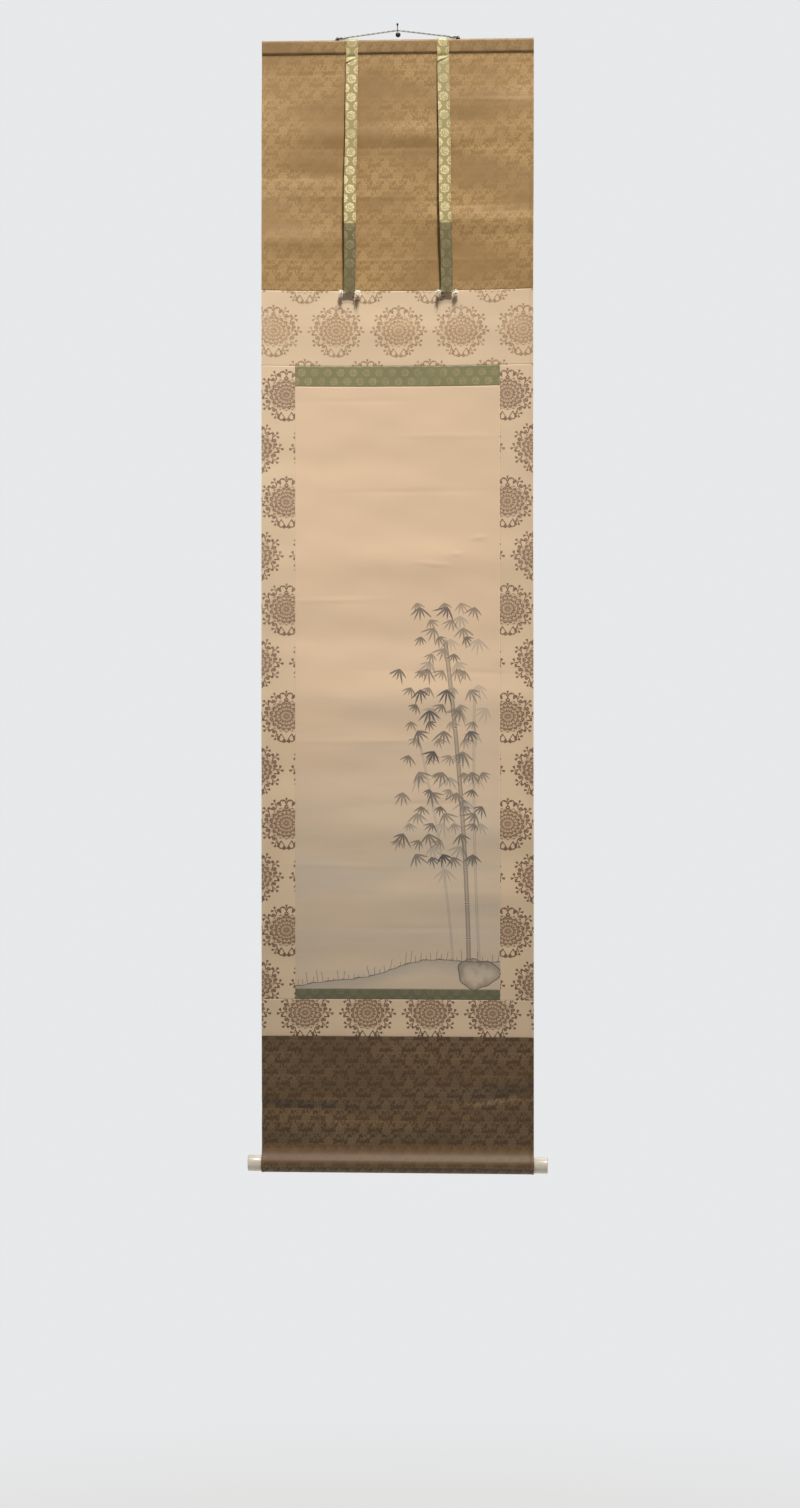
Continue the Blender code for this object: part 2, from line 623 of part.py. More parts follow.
def main():
    clear_scene()
    make_panels()
    make_stave()
    make_roller()
    make_knobs()
    make_streamers()
    make_tufts()
    make_eyelets()
    make_rings()
    make_knots()
    make_cord()
    make_hook()
    drill_shank_holes()


main()
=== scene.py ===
"""Looks of the hanging scroll: fine cloths on the folds of its solids, woven patterns, thread and metal.

Metres. The wall is the plane Y = 0, the viewer stands at -Y, and +Z is up. Sections are drawn in the Y-Z
plane, with angles measured from +Y over +Z, so that 180 degrees points at the viewer.
"""

import math
import random

import bmesh
import bpy
import numpy as np
from mathutils import Matrix, Vector


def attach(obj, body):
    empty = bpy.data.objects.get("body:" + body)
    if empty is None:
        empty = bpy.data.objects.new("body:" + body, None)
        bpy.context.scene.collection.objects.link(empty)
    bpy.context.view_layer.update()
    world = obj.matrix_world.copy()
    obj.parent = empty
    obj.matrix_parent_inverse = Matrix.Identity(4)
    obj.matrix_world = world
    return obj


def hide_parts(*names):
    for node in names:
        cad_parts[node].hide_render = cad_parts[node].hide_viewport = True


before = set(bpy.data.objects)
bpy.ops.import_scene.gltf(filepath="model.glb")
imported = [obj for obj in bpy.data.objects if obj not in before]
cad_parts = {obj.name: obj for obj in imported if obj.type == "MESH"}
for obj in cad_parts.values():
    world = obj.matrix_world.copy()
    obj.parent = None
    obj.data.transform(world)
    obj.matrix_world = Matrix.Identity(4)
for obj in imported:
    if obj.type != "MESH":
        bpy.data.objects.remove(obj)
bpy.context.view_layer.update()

# Camera: level, a little to the viewer's right
CAMERA_DISTANCE = 4.0
CAMERA_TURN = math.radians(2.7)
CAMERA_AIM = Vector((0.004, -0.017, -1.069))
CAMERA_LENS = 57.75
CAMERA_SENSOR = 36
CAMERA_SHIFT = -0.05

# Stage and light. The key is a sun in the direction of KEY_WAY, and the spot lights the upper part.
FLOOR_Z = -3.30
FLOOR_RADIUS = 9.0
FLOOR_FADE = (0.8, 3.6)
FLOOR_SIDES = 96
FLOOR_COLOUR = (0.72, 0.72, 0.71)
PALE = (0.80, 0.81, 0.82)
AMBIENT = (0.75, 0.80, 0.88)
AMBIENT_STRENGTH = 0.035
KEY_WAY = (0.60, -2.05, 5.20)
SPOT_PLACE = (1.02, -3.40, 5.30)
SPOT_AIM = (0.33, -0.02, 0.58)
KEY_COLOUR = (1.0, 0.955, 0.89)
KEY_STRENGTH = 2.75
KEY_SOFTNESS = math.radians(4.0)
SPOT_WATTS = 2080.0
SPOT_CONE = math.radians(18.5)
SPOT_BLEND = 0.08
SPOT_RADIUS = 0.20
LAMPS = (
    # name, place, aim, size, watts, colour
    ("fill", (-0.50, -1.90, 0.90), (0.0, -0.02, -0.60), 1.20, 2.4, (0.97, 0.98, 1.0)),
    ("back", (0.60, 2.20, 0.60), (0.0, 0.00, -0.90), 1.80, 30.0, (1.0, 1.0, 1.0)),
)

# Sizes, as in the solids
SIDES = (("left", -1), ("right", 1))
MOUNT_WIDTH = 0.450
PAINTING_WIDTH = 0.339
UPPER_PANEL_HEIGHT = 0.416
DAMASK_TOP_HEIGHT = 0.124
ACCENT_UPPER_HEIGHT = 0.034
PAINTING_HEIGHT = 0.996
ACCENT_LOWER_HEIGHT = 0.017
DAMASK_BOTTOM_HEIGHT = 0.061
LOWER_PANEL_HEIGHT = 0.226
CLOTH_THICKNESS = 0.0012
GAP = 0.0003
FLAP_GAP = 0.0004
HANG_Y = -0.017
TOP_EDGE_Z = -0.0124
STAVE_HALF_HEIGHT = 0.01025
STAVE_CORNER = 0.002
STAVE_FRONT_FILLET = 0.0015
STAVE_BACK_FILLET = 0.003
STAVE_FLAP_LENGTH = 0.009
ROLLER_RADIUS = 0.013
ROLLER_FRONT_FILLET = 0.030
ROLLER_BACK_FILLET = 0.012
ROLLER_FLAP_LENGTH = 0.012
TENON_RADIUS = 0.006
KNOB_LENGTH = 0.0225
KNOB_RADIUS = 0.013
KNOB_ROUNDING = 0.0016
STREAMER_WIDTH = 0.0195
STREAMER_THICKNESS = 0.0010
STREAMER_X = MOUNT_WIDTH / 6
STREAMER_TAIL_ANGLE = 10
STREAMER_BOW = 0.8
STREAMER_POINTS = (
    # down from the top edge, out from the stave's front
    (0.0240, 0.0000),
    (0.0285, -0.0012),
    (0.0340, 0.0006),
)
STREAMER_CREASE = (0.306, 0.013)
STREAMER_END = (0.419, 0.005)
STREAMER_LEAN = {"left": -0.004, "right": 0.007}
EYELET_X = 0.100
SEAT_RADIUS = 0.0038
SEAT_THICKNESS = 0.0008
EYE_RADIUS = 0.0019
EYE_WIRE = 0.00055
RING_RADIUS = 0.0036
RING_WIRE = 0.00075
RING_TILT = math.radians(4)
CORD_RADIUS = 0.0015
CORD_PEAK_HALF = 0.006
HOOK_WIRE = 0.0008
HOOK_BEND = 0.0030
HOOK_TIP_Z = 0.0119
HOOK_TIP_RADIUS = 0.0017
HOOK_TIP_HALF_HEIGHT = 0.0025
HOOK_TIP_ANGLES = (-74, 86)
HOOK_TIP_INSIDE = 0.8
FLANGE_RADIUS = 0.0042
FLANGE_THICKNESS = 0.0015

# The braid: eight yarns, of which two are dark
CORD_POINTS = 360
CORD_END_GAP = 0.0008
BRAID_TURN = 0.0084
BRAID_RADIUS = 0.00092
BRAID_SWING = 0.00016
YARNS = 8
DARK_YARNS = (1, 4)
YARN_RADIUS = 0.00047
YARN_SIDES = 6

# The cord's knots: a loop round the ring, a whipping and a loose end
KNOT_SIDES = 8
LOOP_ARC = (0.15 * math.pi, 1.85 * math.pi)
LOOP_RADIUS_X = 0.0019
LOOP_RADIUS_Z = 0.00185
LOOP_SHIFT = 0.0002
LOOP_BULGE = 0.0004
LOOP_THREAD = 0.00078
WHIP_START = 0.0020
WHIP_LENGTH = 0.0056
WHIP_TURNS = 4.0
WHIP_RADIUS = 0.0017
WHIP_SWELL = 0.0003
WHIP_THREAD = 0.00072
TAIL_START = 0.0076
TAIL_LENGTH = 0.0040
TAIL_OUT = 0.0016
TAIL_BOW = 0.0007
TAIL_LOW = 0.0006
TAIL_DROP = 0.0016
TAIL_THREAD = 0.00055

# The tucks in the streamers below the stave, how they sway and cup, and the shade painted on their tails
TUCK_DOWN = 0.0355
TUCK_SLOPE = 0.0045
TUCK_RISE = 0.0012
TUCK_RISE_UP = 0.0026
TUCK_RISE_WIDTH = 0.0024
TUCK_DEPTH = 0.0010
TUCK_WIDTH = 0.0011
SWAY = 0.0006
SWAY_RATE = 31
SWAY_SHIFT = 40
SWAY_START = (0.06, 0.20)
CUP = 0.0007
CUP_START = (0.05, 0.12)
FREE_START = (0.026, 0.030)
# Painted shade on the streamers' tails below the crease, where they slope back and face down
TAIL_SHADE = 0.50

# The tufts: loose threads, and turns of thread round their heads
TUFT_SEED = 4
TUFT_THREADS = 120
TUFT_TURNS = 5
TUFT_HEAD_RADIUS = 0.0017
TUFT_AIM = (0.75, -0.25, -0.55)
TUFT_SPREAD = 0.62
TUFT_LENGTHS = (0.0042, 0.0074)
TUFT_DROP = 0.35
TUFT_BEND = 0.16
TUFT_THREAD = 0.00028
TUFT_THREAD_START = 0.10
TUFT_TAPER = 0.45
TUFT_BINDING = 0.00034
TUFT_BINDING_REACH = 0.86

# The knobs: the socket for the tenon, the worn edge beside the cloth, and the shallow turning marks
SOCKET_DEPTH = 0.014
SOCKET_EDGE = 0.0004
KNOB_EDGE = 0.0008
KNOB_END = (
    # in from the end, radius
    (0.0000, 0.0096),
    (0.0002, 0.0090),
    (0.0003, 0.0016),
    (0.0006, 0.0010),
    (0.0008, 0.0000),
)
SEAT_PROFILE = (
    # share of the thickness, share of the radius
    (0.00, 0.00),
    (0.00, 1.00),
    (0.45, 1.00),
    (0.80, 0.93),
    (1.00, 0.80),
    (1.00, 0.00),
)
FLANGE_PROFILE = (
    # out from the wall, share of the radius
    (0.0000, 1.00),
    (0.0009, 1.00),
    (0.0012, 0.96),
    (0.0014, 0.88),
    (FLANGE_THICKNESS, 0.55),
)

# Edge curl towards the viewer, and the main folds, as in the solids
CURL_POWER = 2.4
CURL_BY_DOWN = (
    # down, curl at the side edges
    (0.000, 0.000),
    (0.035, 0.000),
    (0.160, 0.008),
    (0.400, 0.019),
    (0.750, 0.020),
    (1.100, 0.014),
    (1.500, 0.008),
    (1.740, 0.002),
    (1.815, 0.000),
    (1.880, 0.000),
)
FOLDS_START = 0.032
FOLDS_END = 1.832
FOLD_EASE = 0.020
FOLDS = (
    # down, across, half_length, half_height, out, slant
    (0.110, 0.120, 0.120, 0.018, 0.0012, 0.02),
    (0.158, -0.020, 0.170, 0.017, 0.0022, 0.00),
    (0.224, -0.160, 0.110, 0.015, -0.0016, 0.03),
    (0.301, 0.150, 0.120, 0.017, 0.0026, -0.04),
    (0.331, -0.150, 0.120, 0.017, 0.0020, 0.02),
    (0.480, 0.060, 0.160, 0.020, 0.0012, 0.00),
    (0.700, -0.100, 0.160, 0.026, -0.0012, 0.00),
    (0.860, 0.040, 0.230, 0.028, 0.0020, 0.02),
    (0.990, -0.060, 0.220, 0.028, -0.0018, -0.02),
    (1.092, 0.020, 0.260, 0.030, 0.0024, 0.01),
    (1.215, -0.080, 0.200, 0.028, -0.0016, 0.02),
    (1.307, 0.080, 0.220, 0.028, 0.0020, -0.02),
    (1.415, 0.120, 0.180, 0.026, 0.0022, 0.04),
    (1.520, -0.100, 0.200, 0.026, -0.0018, 0.00),
    (1.640, 0.000, 0.240, 0.020, 0.0016, 0.00),
    (1.721, 0.175, 0.090, 0.013, 0.0030, 0.10),
    (1.749, 0.150, 0.110, 0.012, -0.0030, 0.12),
    (1.773, -0.150, 0.130, 0.015, -0.0028, -0.05),
    (1.800, -0.040, 0.240, 0.013, 0.0020, -0.02),
)

# Fine creases left by rolling and handling, and the wrinkles low on the mount
CREASES = (
    # down, across, half_length, half_height, out, slant
    (0.0560, -0.120, 0.070, 0.0032, -0.0003, 0.01),
    (0.1010, 0.165, 0.060, 0.0034, 0.0004, -0.03),
    (0.1790, 0.040, 0.140, 0.0036, -0.0004, 0.01),
    (0.2590, -0.090, 0.110, 0.0036, 0.0004, -0.02),
    (0.2760, 0.120, 0.090, 0.0030, -0.0003, 0.03),
    (0.3650, 0.010, 0.160, 0.0036, 0.0004, 0.00),
    (0.5980, -0.060, 0.090, 0.0034, -0.0003, 0.01),
    (0.6560, 0.090, 0.100, 0.0034, 0.0003, -0.01),
    (0.7480, 0.020, 0.120, 0.0036, -0.0003, 0.01),
    (0.8240, 0.135, 0.012, 0.0028, 0.0006, 0.10),
    (0.8510, 0.097, 0.010, 0.0026, 0.0006, 0.08),
    (0.8670, 0.057, 0.026, 0.0028, 0.0006, -0.10),
    (0.9270, -0.110, 0.080, 0.0034, 0.0004, 0.02),
    (1.0460, 0.080, 0.120, 0.0036, -0.0004, -0.02),
    (1.1600, -0.030, 0.150, 0.0036, 0.0004, 0.01),
    (1.2630, 0.060, 0.100, 0.0034, -0.0004, 0.02),
    (1.3660, -0.090, 0.110, 0.0036, 0.0004, -0.02),
    (1.4700, 0.030, 0.140, 0.0036, -0.0004, 0.01),
    (1.5820, -0.040, 0.120, 0.0034, 0.0003, 0.00),
    (1.6850, -0.100, 0.120, 0.0040, 0.0006, 0.06),
    (1.7050, 0.080, 0.100, 0.0040, -0.0006, -0.05),
    (1.7360, -0.010, 0.090, 0.0040, 0.0006, 0.14),
    (1.7620, 0.060, 0.110, 0.0040, -0.0006, 0.10),
    (1.7880, 0.150, 0.080, 0.0036, 0.0006, -0.08),
    (1.7530, -0.165, 0.080, 0.0065, 0.0016, -0.03),
    (1.7670, -0.165, 0.080, 0.0075, -0.0016, -0.05),
    (1.7380, 0.170, 0.060, 0.0065, 0.0010, 0.24),
    (1.7500, 0.165, 0.060, 0.0065, -0.0011, 0.24),
    (1.7640, 0.140, 0.060, 0.0060, 0.0010, 0.18),
    (1.7750, 0.115, 0.060, 0.0060, -0.0010, 0.16),
)
RIPPLES = (
    # waves across the mount, waves down it, shift, height
    (2.3, 11.0, 0.4, 0.00016),
    (-1.4, 17.0, 1.9, 0.00013),
    (3.7, 27.0, 4.1, 0.00009),
    (-2.9, 41.0, 2.7, 0.00006),
)

# The line pressed into the cloth just under the stave, with painted shade in it and over the stave's band
PRESSED_LINE_DOWN = 0.0236
PRESSED_LINE_HALF = 0.0010
PRESSED_LINE_DEPTH = 0.0007
PRESSED_LINE_WANDER = 0.0006
PRESSED_LINE_WAVES = (
    # rate, shift, share
    (61, 0.0, 1.0),
    (143, 1.0, 0.6),
)
# Painted shade: how much darker the pressed line and the band over the stave are drawn
PRESSED_LINE_SHADE = 0.55
STAVE_BAND_SHADE = 0.24
SOFT_EDGE = 0.0008

# Borders of the cloths: seams dip, and the folded side edges stand up a little
SEAM_DIP = 0.00035
SEAM_DIP_WIDTH = 0.0009
HEM_WIDTH = 0.0045
HEM_RISE = 0.00035
HEM_EDGE = 0.0006
BORDER_STEPS = (0.0003, 0.0006, 0.0010, 0.0020)
CLOTH_COLUMN = 0.0045
CLOTH_ROW = 0.0021
PAINTING_CELL = 0.0031
SIDE_COLUMN = 0.0028
SIDE_ROW = 0.0027
STREAMER_COLUMN = 0.0011
STREAMER_ROW = 0.0016

# The painting: the bamboo and the spread of its leaves, the stone, the grass, and where mist begins
STALK_SEGMENT = 0.058
STALKS = (
    # foot, top, bow, half width, place of a joint: the dark stalk, a thin one and a pale one
    ((0.118, -1.545), (0.078, -1.000), 0.030, 0.0034, 0.010),
    ((0.136, -1.550), (0.128, -1.080), -0.020, 0.0024, 0.030),
    ((0.092, -1.540), (0.030, -1.150), 0.036, 0.0020, 0.045),
)
LEAF_SPREAD = 0.42
LEAVES_X = 0.075
LEAVES_LOW = -1.42
LEAVES_TOP = -0.92
STONE = (0.132, -1.556)
STONE_RADII = (0.034, 0.024)
GRASS_PITCH = 0.0085
WASH_Z = (-1.36, -0.86)
MIST_Z = (-1.42, -1.12)

# Repeats of the woven figures, across and along, pitches of the weaves, and the damask's flower
DAMASK_REPEAT = (0.1034, 0.0885)
SILK_REPEAT = (0.0380, 0.0190)
STREAMER_REPEAT = (0.0220, 0.0153)
ACCENT_REPEAT = (0.0213, 0.0146)
SILK_WEAVE = 0.0009
BROCADE_WEAVE = 0.0007
PAINTED_WEAVE = 0.0008
FLOWER_RADII = (0.0312, 0.0265)
PETALS = 8.0
PETAL_RINGS = 4.4
SPRAYS = 12
SPRAY_REACH = 0.0396
# Heights below which the damask's figure is drawn stronger and darker, as painted shade, and above which it
# is paler, as painted sheen
FIGURE_SHADE_Z = (-1.22, -0.92)

# A highlight is painted on the silk where it bends over the roller
ROLLER_HIGHLIGHT = 0.95
HIGHLIGHT_LOW_Z = (-0.004, 0.006)
HIGHLIGHT_TOP_Z = (-1.855, -1.831)

# Places that follow from the sizes
HALF_WIDTH = MOUNT_WIDTH / 2
HALF_PAINTING = PAINTING_WIDTH / 2
CLOTH_OFFSET = GAP + CLOTH_THICKNESS / 2
STAVE_FRONT_Y = HANG_Y - STAVE_CORNER
STAVE_Z = TOP_EDGE_Z - CLOTH_THICKNESS - GAP - STAVE_HALF_HEIGHT
STAVE_CORNER_RISE = STAVE_HALF_HEIGHT - STAVE_CORNER
SHEET_Y = STAVE_FRONT_Y + STAVE_FRONT_FILLET
FLAP_Y = SHEET_Y + CLOTH_THICKNESS + FLAP_GAP
SEAM_1_Z = TOP_EDGE_Z - UPPER_PANEL_HEIGHT
SEAM_2_Z = SEAM_1_Z - DAMASK_TOP_HEIGHT
SEAM_3_Z = SEAM_2_Z - ACCENT_UPPER_HEIGHT
SEAM_4_Z = SEAM_3_Z - PAINTING_HEIGHT
SEAM_5_Z = SEAM_4_Z - ACCENT_LOWER_HEIGHT
SEAM_6_Z = SEAM_5_Z - DAMASK_BOTTOM_HEIGHT
BOTTOM_EDGE_Z = SEAM_6_Z - LOWER_PANEL_HEIGHT
ROLLER_Z = BOTTOM_EDGE_Z + CLOTH_THICKNESS + GAP + ROLLER_RADIUS
SEAT_Z = TOP_EDGE_Z + GAP
EYE_Z = SEAT_Z + SEAT_THICKNESS + EYE_RADIUS - EYE_WIRE
RING_TIP_X = EYELET_X - 2 * RING_RADIUS * math.cos(RING_TILT)
RING_TIP_Z = EYE_Z + 2 * RING_RADIUS * math.sin(RING_TILT)
CORD_PEAK_Z = HOOK_WIRE + GAP + CORD_RADIUS
CORD_SLOPE = (CORD_PEAK_Z - RING_TIP_Z) / RING_TIP_X
CORD_END_X = RING_TIP_X - CORD_END_GAP


def smooth(low, high, value):
    """0 below low and 1 above high, with a soft step between, for a number or an array."""
    share = np.clip((value - low) / (high - low), 0, 1)
    return share * share * (3 - 2 * share)


def curl_at(down):
    """How far the side edges stand forward at a distance below the top edge."""
    curl = CURL_BY_DOWN[0][1]
    for (start, before), (end, after) in zip(CURL_BY_DOWN, CURL_BY_DOWN[1:]):
        curl = curl + (after - before) * smooth(start, end, down)
    return curl


def raised(table, across, down):
    """How far the ridges and troughs of a table push the cloth towards the viewer."""
    total = 0.0
    for ridge_down, ridge_across, half_length, half_height, out, slant in table:
        along = (across - ridge_across) / half_length
        off = (down - ridge_down + slant * (across - ridge_across)) / half_height
        total = total + out * np.exp(-along * along - off * off)
    return total


def ripples(across, down):
    """Shallow unevenness of pasted cloth."""
    total = 0.0
    for waves_across, waves_down, shift, height in RIPPLES:
        turn = waves_across * across / HALF_WIDTH + waves_down * down + shift
        total = total + height * np.sin(turn * math.pi)
    return total


def hang(across, y, z):
    """Moves points of the flat cloth to where they hang, with the side edges curled forward."""
    down = TOP_EDGE_Z - z
    share = np.abs(across) / HALF_WIDTH
    curl = curl_at(down)
    rate = 2 * CURL_POWER - 1
    pulled_in = 0.5 * (curl * CURL_POWER) ** 2 / HALF_WIDTH * share**rate / rate
    folded = raised(FOLDS, across, down) + raised(CREASES, across, down) + ripples(across, down)
    ease = smooth(FOLDS_START, FOLDS_START + FOLD_EASE, down)
    ease = ease * (1 - smooth(FOLDS_END - FOLD_EASE, FOLDS_END, down))
    return across - np.sign(across) * pulled_in, y - curl * share**CURL_POWER - folded * ease, z


def arc(centre, radius, start, end, steps):
    """Points of an arc in the Y-Z plane, both ends included, with its angles in degrees."""
    angles = [math.radians(start + (end - start) * i / steps) for i in range(steps + 1)]
    return [(centre[0] + radius * math.cos(a), centre[1] + radius * math.sin(a)) for a in angles]


def line(start, end, steps):
    """Points of a straight line in the Y-Z plane, without its first one."""
    shares = [i / steps for i in range(1, steps + 1)]
    return [(start[0] + (end[0] - start[0]) * s, start[1] + (end[1] - start[1]) * s) for s in shares]


def fillet_between(centre, radius, plane_y, fillet, above):
    """The centre of a fillet that touches an upright plane and a circle, and the direction in degrees
    from the circle's centre to it. The fillet lies in front of the plane if its radius is negative."""
    fillet_y = plane_y + fillet
    rise = math.sqrt((radius + abs(fillet)) ** 2 - (fillet_y - centre[0]) ** 2)
    fillet_z = centre[1] + (rise if above else -rise)
    towards = math.degrees(math.atan2(fillet_z - centre[1], fillet_y - centre[0]))
    return (fillet_y, fillet_z), towards


def stations(start, end, cell, at_start=True, at_end=True, extra=()):
    """Places from start to end about a cell apart, with closer ones beside a seam or a hem."""
    places = list(np.linspace(start, end, max(2, round(abs(end - start) / cell) + 1)))
    way = math.copysign(1, end - start)
    if at_start:
        places += [start + way * step for step in BORDER_STEPS]
    if at_end:
        places += [end - way * step for step in BORDER_STEPS]
    places = sorted(set(round(float(place), 6) for place in places + list(extra)))
    return places if way > 0 else places[::-1]


def upright(heights):
    """A flat sheet's path: straight up or down the plane of the cloth."""
    return [(SHEET_Y, z) for z in heights]


def upper_panel_path():
    """From the seam up the front, round the stave and down behind it to the pasted flap."""
    low_corner = (HANG_Y, STAVE_Z - STAVE_CORNER_RISE)
    high_corner = (HANG_Y, STAVE_Z + STAVE_CORNER_RISE)
    corner = STAVE_CORNER + CLOTH_OFFSET
    back = STAVE_HALF_HEIGHT + CLOTH_OFFSET
    front_fillet, front_way = fillet_between(low_corner, corner, SHEET_Y, -STAVE_FRONT_FILLET, above=False)
    back_fillet, back_way = fillet_between((HANG_Y, STAVE_Z), back, FLAP_Y, STAVE_BACK_FILLET, above=False)
    pressed = [front_fillet[1] - 0.0004 * step for step in range(1, 12)]
    path = upright(stations(SEAM_1_Z, front_fillet[1], CLOTH_ROW, at_end=False, extra=pressed))
    path += arc(front_fillet, STAVE_FRONT_FILLET, 0, front_way + 180, 6)[1:]
    path += arc(low_corner, corner, front_way + 360, 180, 6)[1:]
    path += line(path[-1], (HANG_Y - corner, high_corner[1]), 10)
    path += arc(high_corner, corner, 180, 90, 10)[1:]
    path += arc((HANG_Y, STAVE_Z), back, 90, back_way, 36)[1:]
    path += arc(back_fillet, STAVE_BACK_FILLET, back_way + 180, 180, 6)[1:]
    path += line(path[-1], (FLAP_Y, back_fillet[1] - STAVE_FLAP_LENGTH), 5)
    return path


def lower_panel_path():
    """From the roller's pasted flap round behind, under and in front of it, and up to the seam."""
    centre = (SHEET_Y, ROLLER_Z)
    wrap = ROLLER_RADIUS + CLOTH_OFFSET
    front_fillet, front_way = fillet_between(centre, wrap, SHEET_Y, -ROLLER_FRONT_FILLET, above=True)
    back_fillet, back_way = fillet_between(centre, wrap, FLAP_Y, ROLLER_BACK_FILLET, above=True)
    path = [(FLAP_Y, back_fillet[1] + ROLLER_FLAP_LENGTH)]
    path += line(path[0], (FLAP_Y, back_fillet[1]), 6)
    path += arc(back_fillet, ROLLER_BACK_FILLET, 180, back_way + 180, 9)[1:]
    path += arc(centre, wrap, back_way + 360, front_way, 60)[1:]
    path += arc(front_fillet, ROLLER_FRONT_FILLET, front_way - 180, 0, 12)[1:]
    path += upright(stations(front_fillet[1], SEAM_6_Z, CLOTH_ROW, at_start=False))[1:]
    return path


def along_path(path):
    """The distance from a path's first point at each of its points."""
    points = np.array(path)
    return np.concatenate([[0.0], np.cumsum(np.hypot(*np.diff(points, axis=0).T))])


def sideways(path):
    """Unit vectors to the left of a path as it runs, one for each point."""
    points = np.array(path)
    runs = np.gradient(points, axis=0)
    runs /= np.linalg.norm(runs, axis=1)[:, None]
    return np.stack([-runs[:, 1], runs[:, 0]], axis=1)


def link_mesh(name, mesh, smooth_angle):
    """An object with smooth shading that breaks at sharp edges."""
    mesh.shade_smooth()
    mesh.set_sharp_from_angle(angle=math.radians(smooth_angle))
    made = bpy.data.objects.new(name, mesh)
    bpy.context.scene.collection.objects.link(made)
    return made


def new_object(name, vertices, faces, smooth_angle=40):
    """A mesh object made of points and faces."""
    mesh = bpy.data.meshes.new(name)
    mesh.from_pydata([tuple(v) for v in vertices], [], [tuple(f) for f in faces])
    return link_mesh(name, mesh, smooth_angle)


def place_values(mesh, name, values):
    """Stores a vector for each point of a mesh, which materials read by its name."""
    attribute = mesh.attributes.new(name, "FLOAT_VECTOR", "POINT")
    attribute.data.foreach_set("vector", np.asarray(values, np.float32).ravel())


def grid_faces(rows, columns, offset=0, flip=False):
    """The quads of a grid of points that is stored row by row."""
    row, column = np.meshgrid(np.arange(rows - 1), np.arange(columns - 1), indexing="ij")
    first = (row * columns + column).ravel() + offset
    order = [first, first + 1, first + columns + 1, first + columns]
    return np.stack(order[::-1] if flip else order, axis=1)


def cloth(name, path, across, relief=None, along=None, thickness=CLOTH_THICKNESS, shape_at=hang, marks=None):
    """A closed sheet that follows a path in the Y-Z plane from its left to its right edge. Its face lies
    to the left of the path. relief raises points of the face, along numbers the rows for the pattern, and
    marks is a third value that the material reads."""
    rows, columns = len(path), len(across)
    middle = np.array(path)
    side = sideways(path)
    along = middle[:, 1] if along is None else along
    relief = np.zeros((rows, columns)) if relief is None else relief
    marks = np.zeros((rows, columns)) if marks is None else marks
    spread = np.broadcast_to(np.array(across), (rows, columns))
    points = []
    for height in (relief + thickness / 2, np.full((rows, columns), -thickness / 2)):
        y = middle[:, :1] + side[:, :1] * height
        z = middle[:, 1:] + side[:, 1:] * height
        x, y, z = shape_at(spread, y, z)
        points.append(np.stack([x, y, z], axis=2).reshape(-1, 3))
    count = rows * columns
    front = np.arange(count).reshape(rows, columns)
    face = grid_faces(rows, columns)
    faces = [face, grid_faces(rows, columns, count, flip=True)]
    for rim in (front[0], front[-1, ::-1], front[::-1, 0], front[:, -1]):
        faces.append(np.stack([rim[:-1], rim[:-1] + count, rim[1:] + count, rim[1:]], axis=1))
    made = new_object(name, np.concatenate(points), np.concatenate(faces))
    flat = np.stack([spread, np.broadcast_to(along[:, None], (rows, columns)), marks], axis=2).reshape(-1, 3)
    place_values(made.data, "cloth", np.concatenate([flat, flat]))
    backs = np.zeros(len(made.data.polygons), np.int32)
    backs[len(face) : 2 * len(face)] = 1
    made.data.polygons.foreach_set("material_index", backs)
    return made


def border_relief(along, across, sides, ends):
    """How the face of a cloth rises or dips at its borders, row by row. sides and ends say for the left
    and right border, and for the path's start and end, whether it is a seam, a hem or neither."""
    along = np.abs(np.asarray(along))
    across = np.asarray(across)
    total = np.zeros((len(along), len(across)))
    places = ((across - across[0])[None, :], (across[-1] - across)[None, :])
    places += ((along - along[0])[:, None], (along[-1] - along)[:, None])
    for kind, distance in zip((*sides, *ends), places):
        if kind == "seam":
            total = total - SEAM_DIP * (1 - smooth(0, SEAM_DIP_WIDTH, distance))
        if kind == "hem":
            total = total + HEM_RISE * (1 - smooth(HEM_WIDTH - HEM_EDGE, HEM_WIDTH + HEM_EDGE, distance))
    return total


def tube_parts(points, radii, sides):
    """Points and faces of a round tube along a line of points, with a radius at each and closed ends."""
    points = np.asarray(points, float)
    radii = np.broadcast_to(radii, len(points))
    runs = np.gradient(points, axis=0)
    runs /= np.linalg.norm(runs, axis=1)[:, None]
    turn = np.linspace(0, math.tau, sides, endpoint=False)
    normal = np.cross(runs[0], (0.3, 0.9, 0.1) if abs(runs[0][1]) < 0.9 else (1.0, 0.0, 0.0))
    vertices = []
    for point, run, radius in zip(points, runs, radii):
        normal = normal - run * normal.dot(run)
        normal /= np.linalg.norm(normal)
        other = np.cross(run, normal)
        vertices.append(point + radius * (np.outer(np.cos(turn), normal) + np.outer(np.sin(turn), other)))
    vertices = np.concatenate(vertices)
    faces = []
    for ring in range(len(points) - 1):
        for side in range(sides):
            here, after = ring * sides + side, ring * sides + (side + 1) % sides
            faces.append((here, after, after + sides, here + sides))
    last = (len(points) - 1) * sides
    faces.append(tuple(range(sides))[::-1])
    faces.append(tuple(range(last, last + sides)))
    return vertices, faces


def joined(name, parts, smooth_angle=40):
    """One object made of several lists of points and faces, each with a material number."""
    vertices, faces, numbers = [], [], []
    for part_vertices, part_faces, number in parts:
        start = len(vertices)
        vertices.extend(tuple(v) for v in part_vertices)
        faces.extend(tuple(i + start for i in face) for face in part_faces)
        numbers.extend([number] * len(part_faces))
    made = new_object(name, vertices, faces, smooth_angle)
    made.data.polygons.foreach_set("material_index", numbers)
    return made


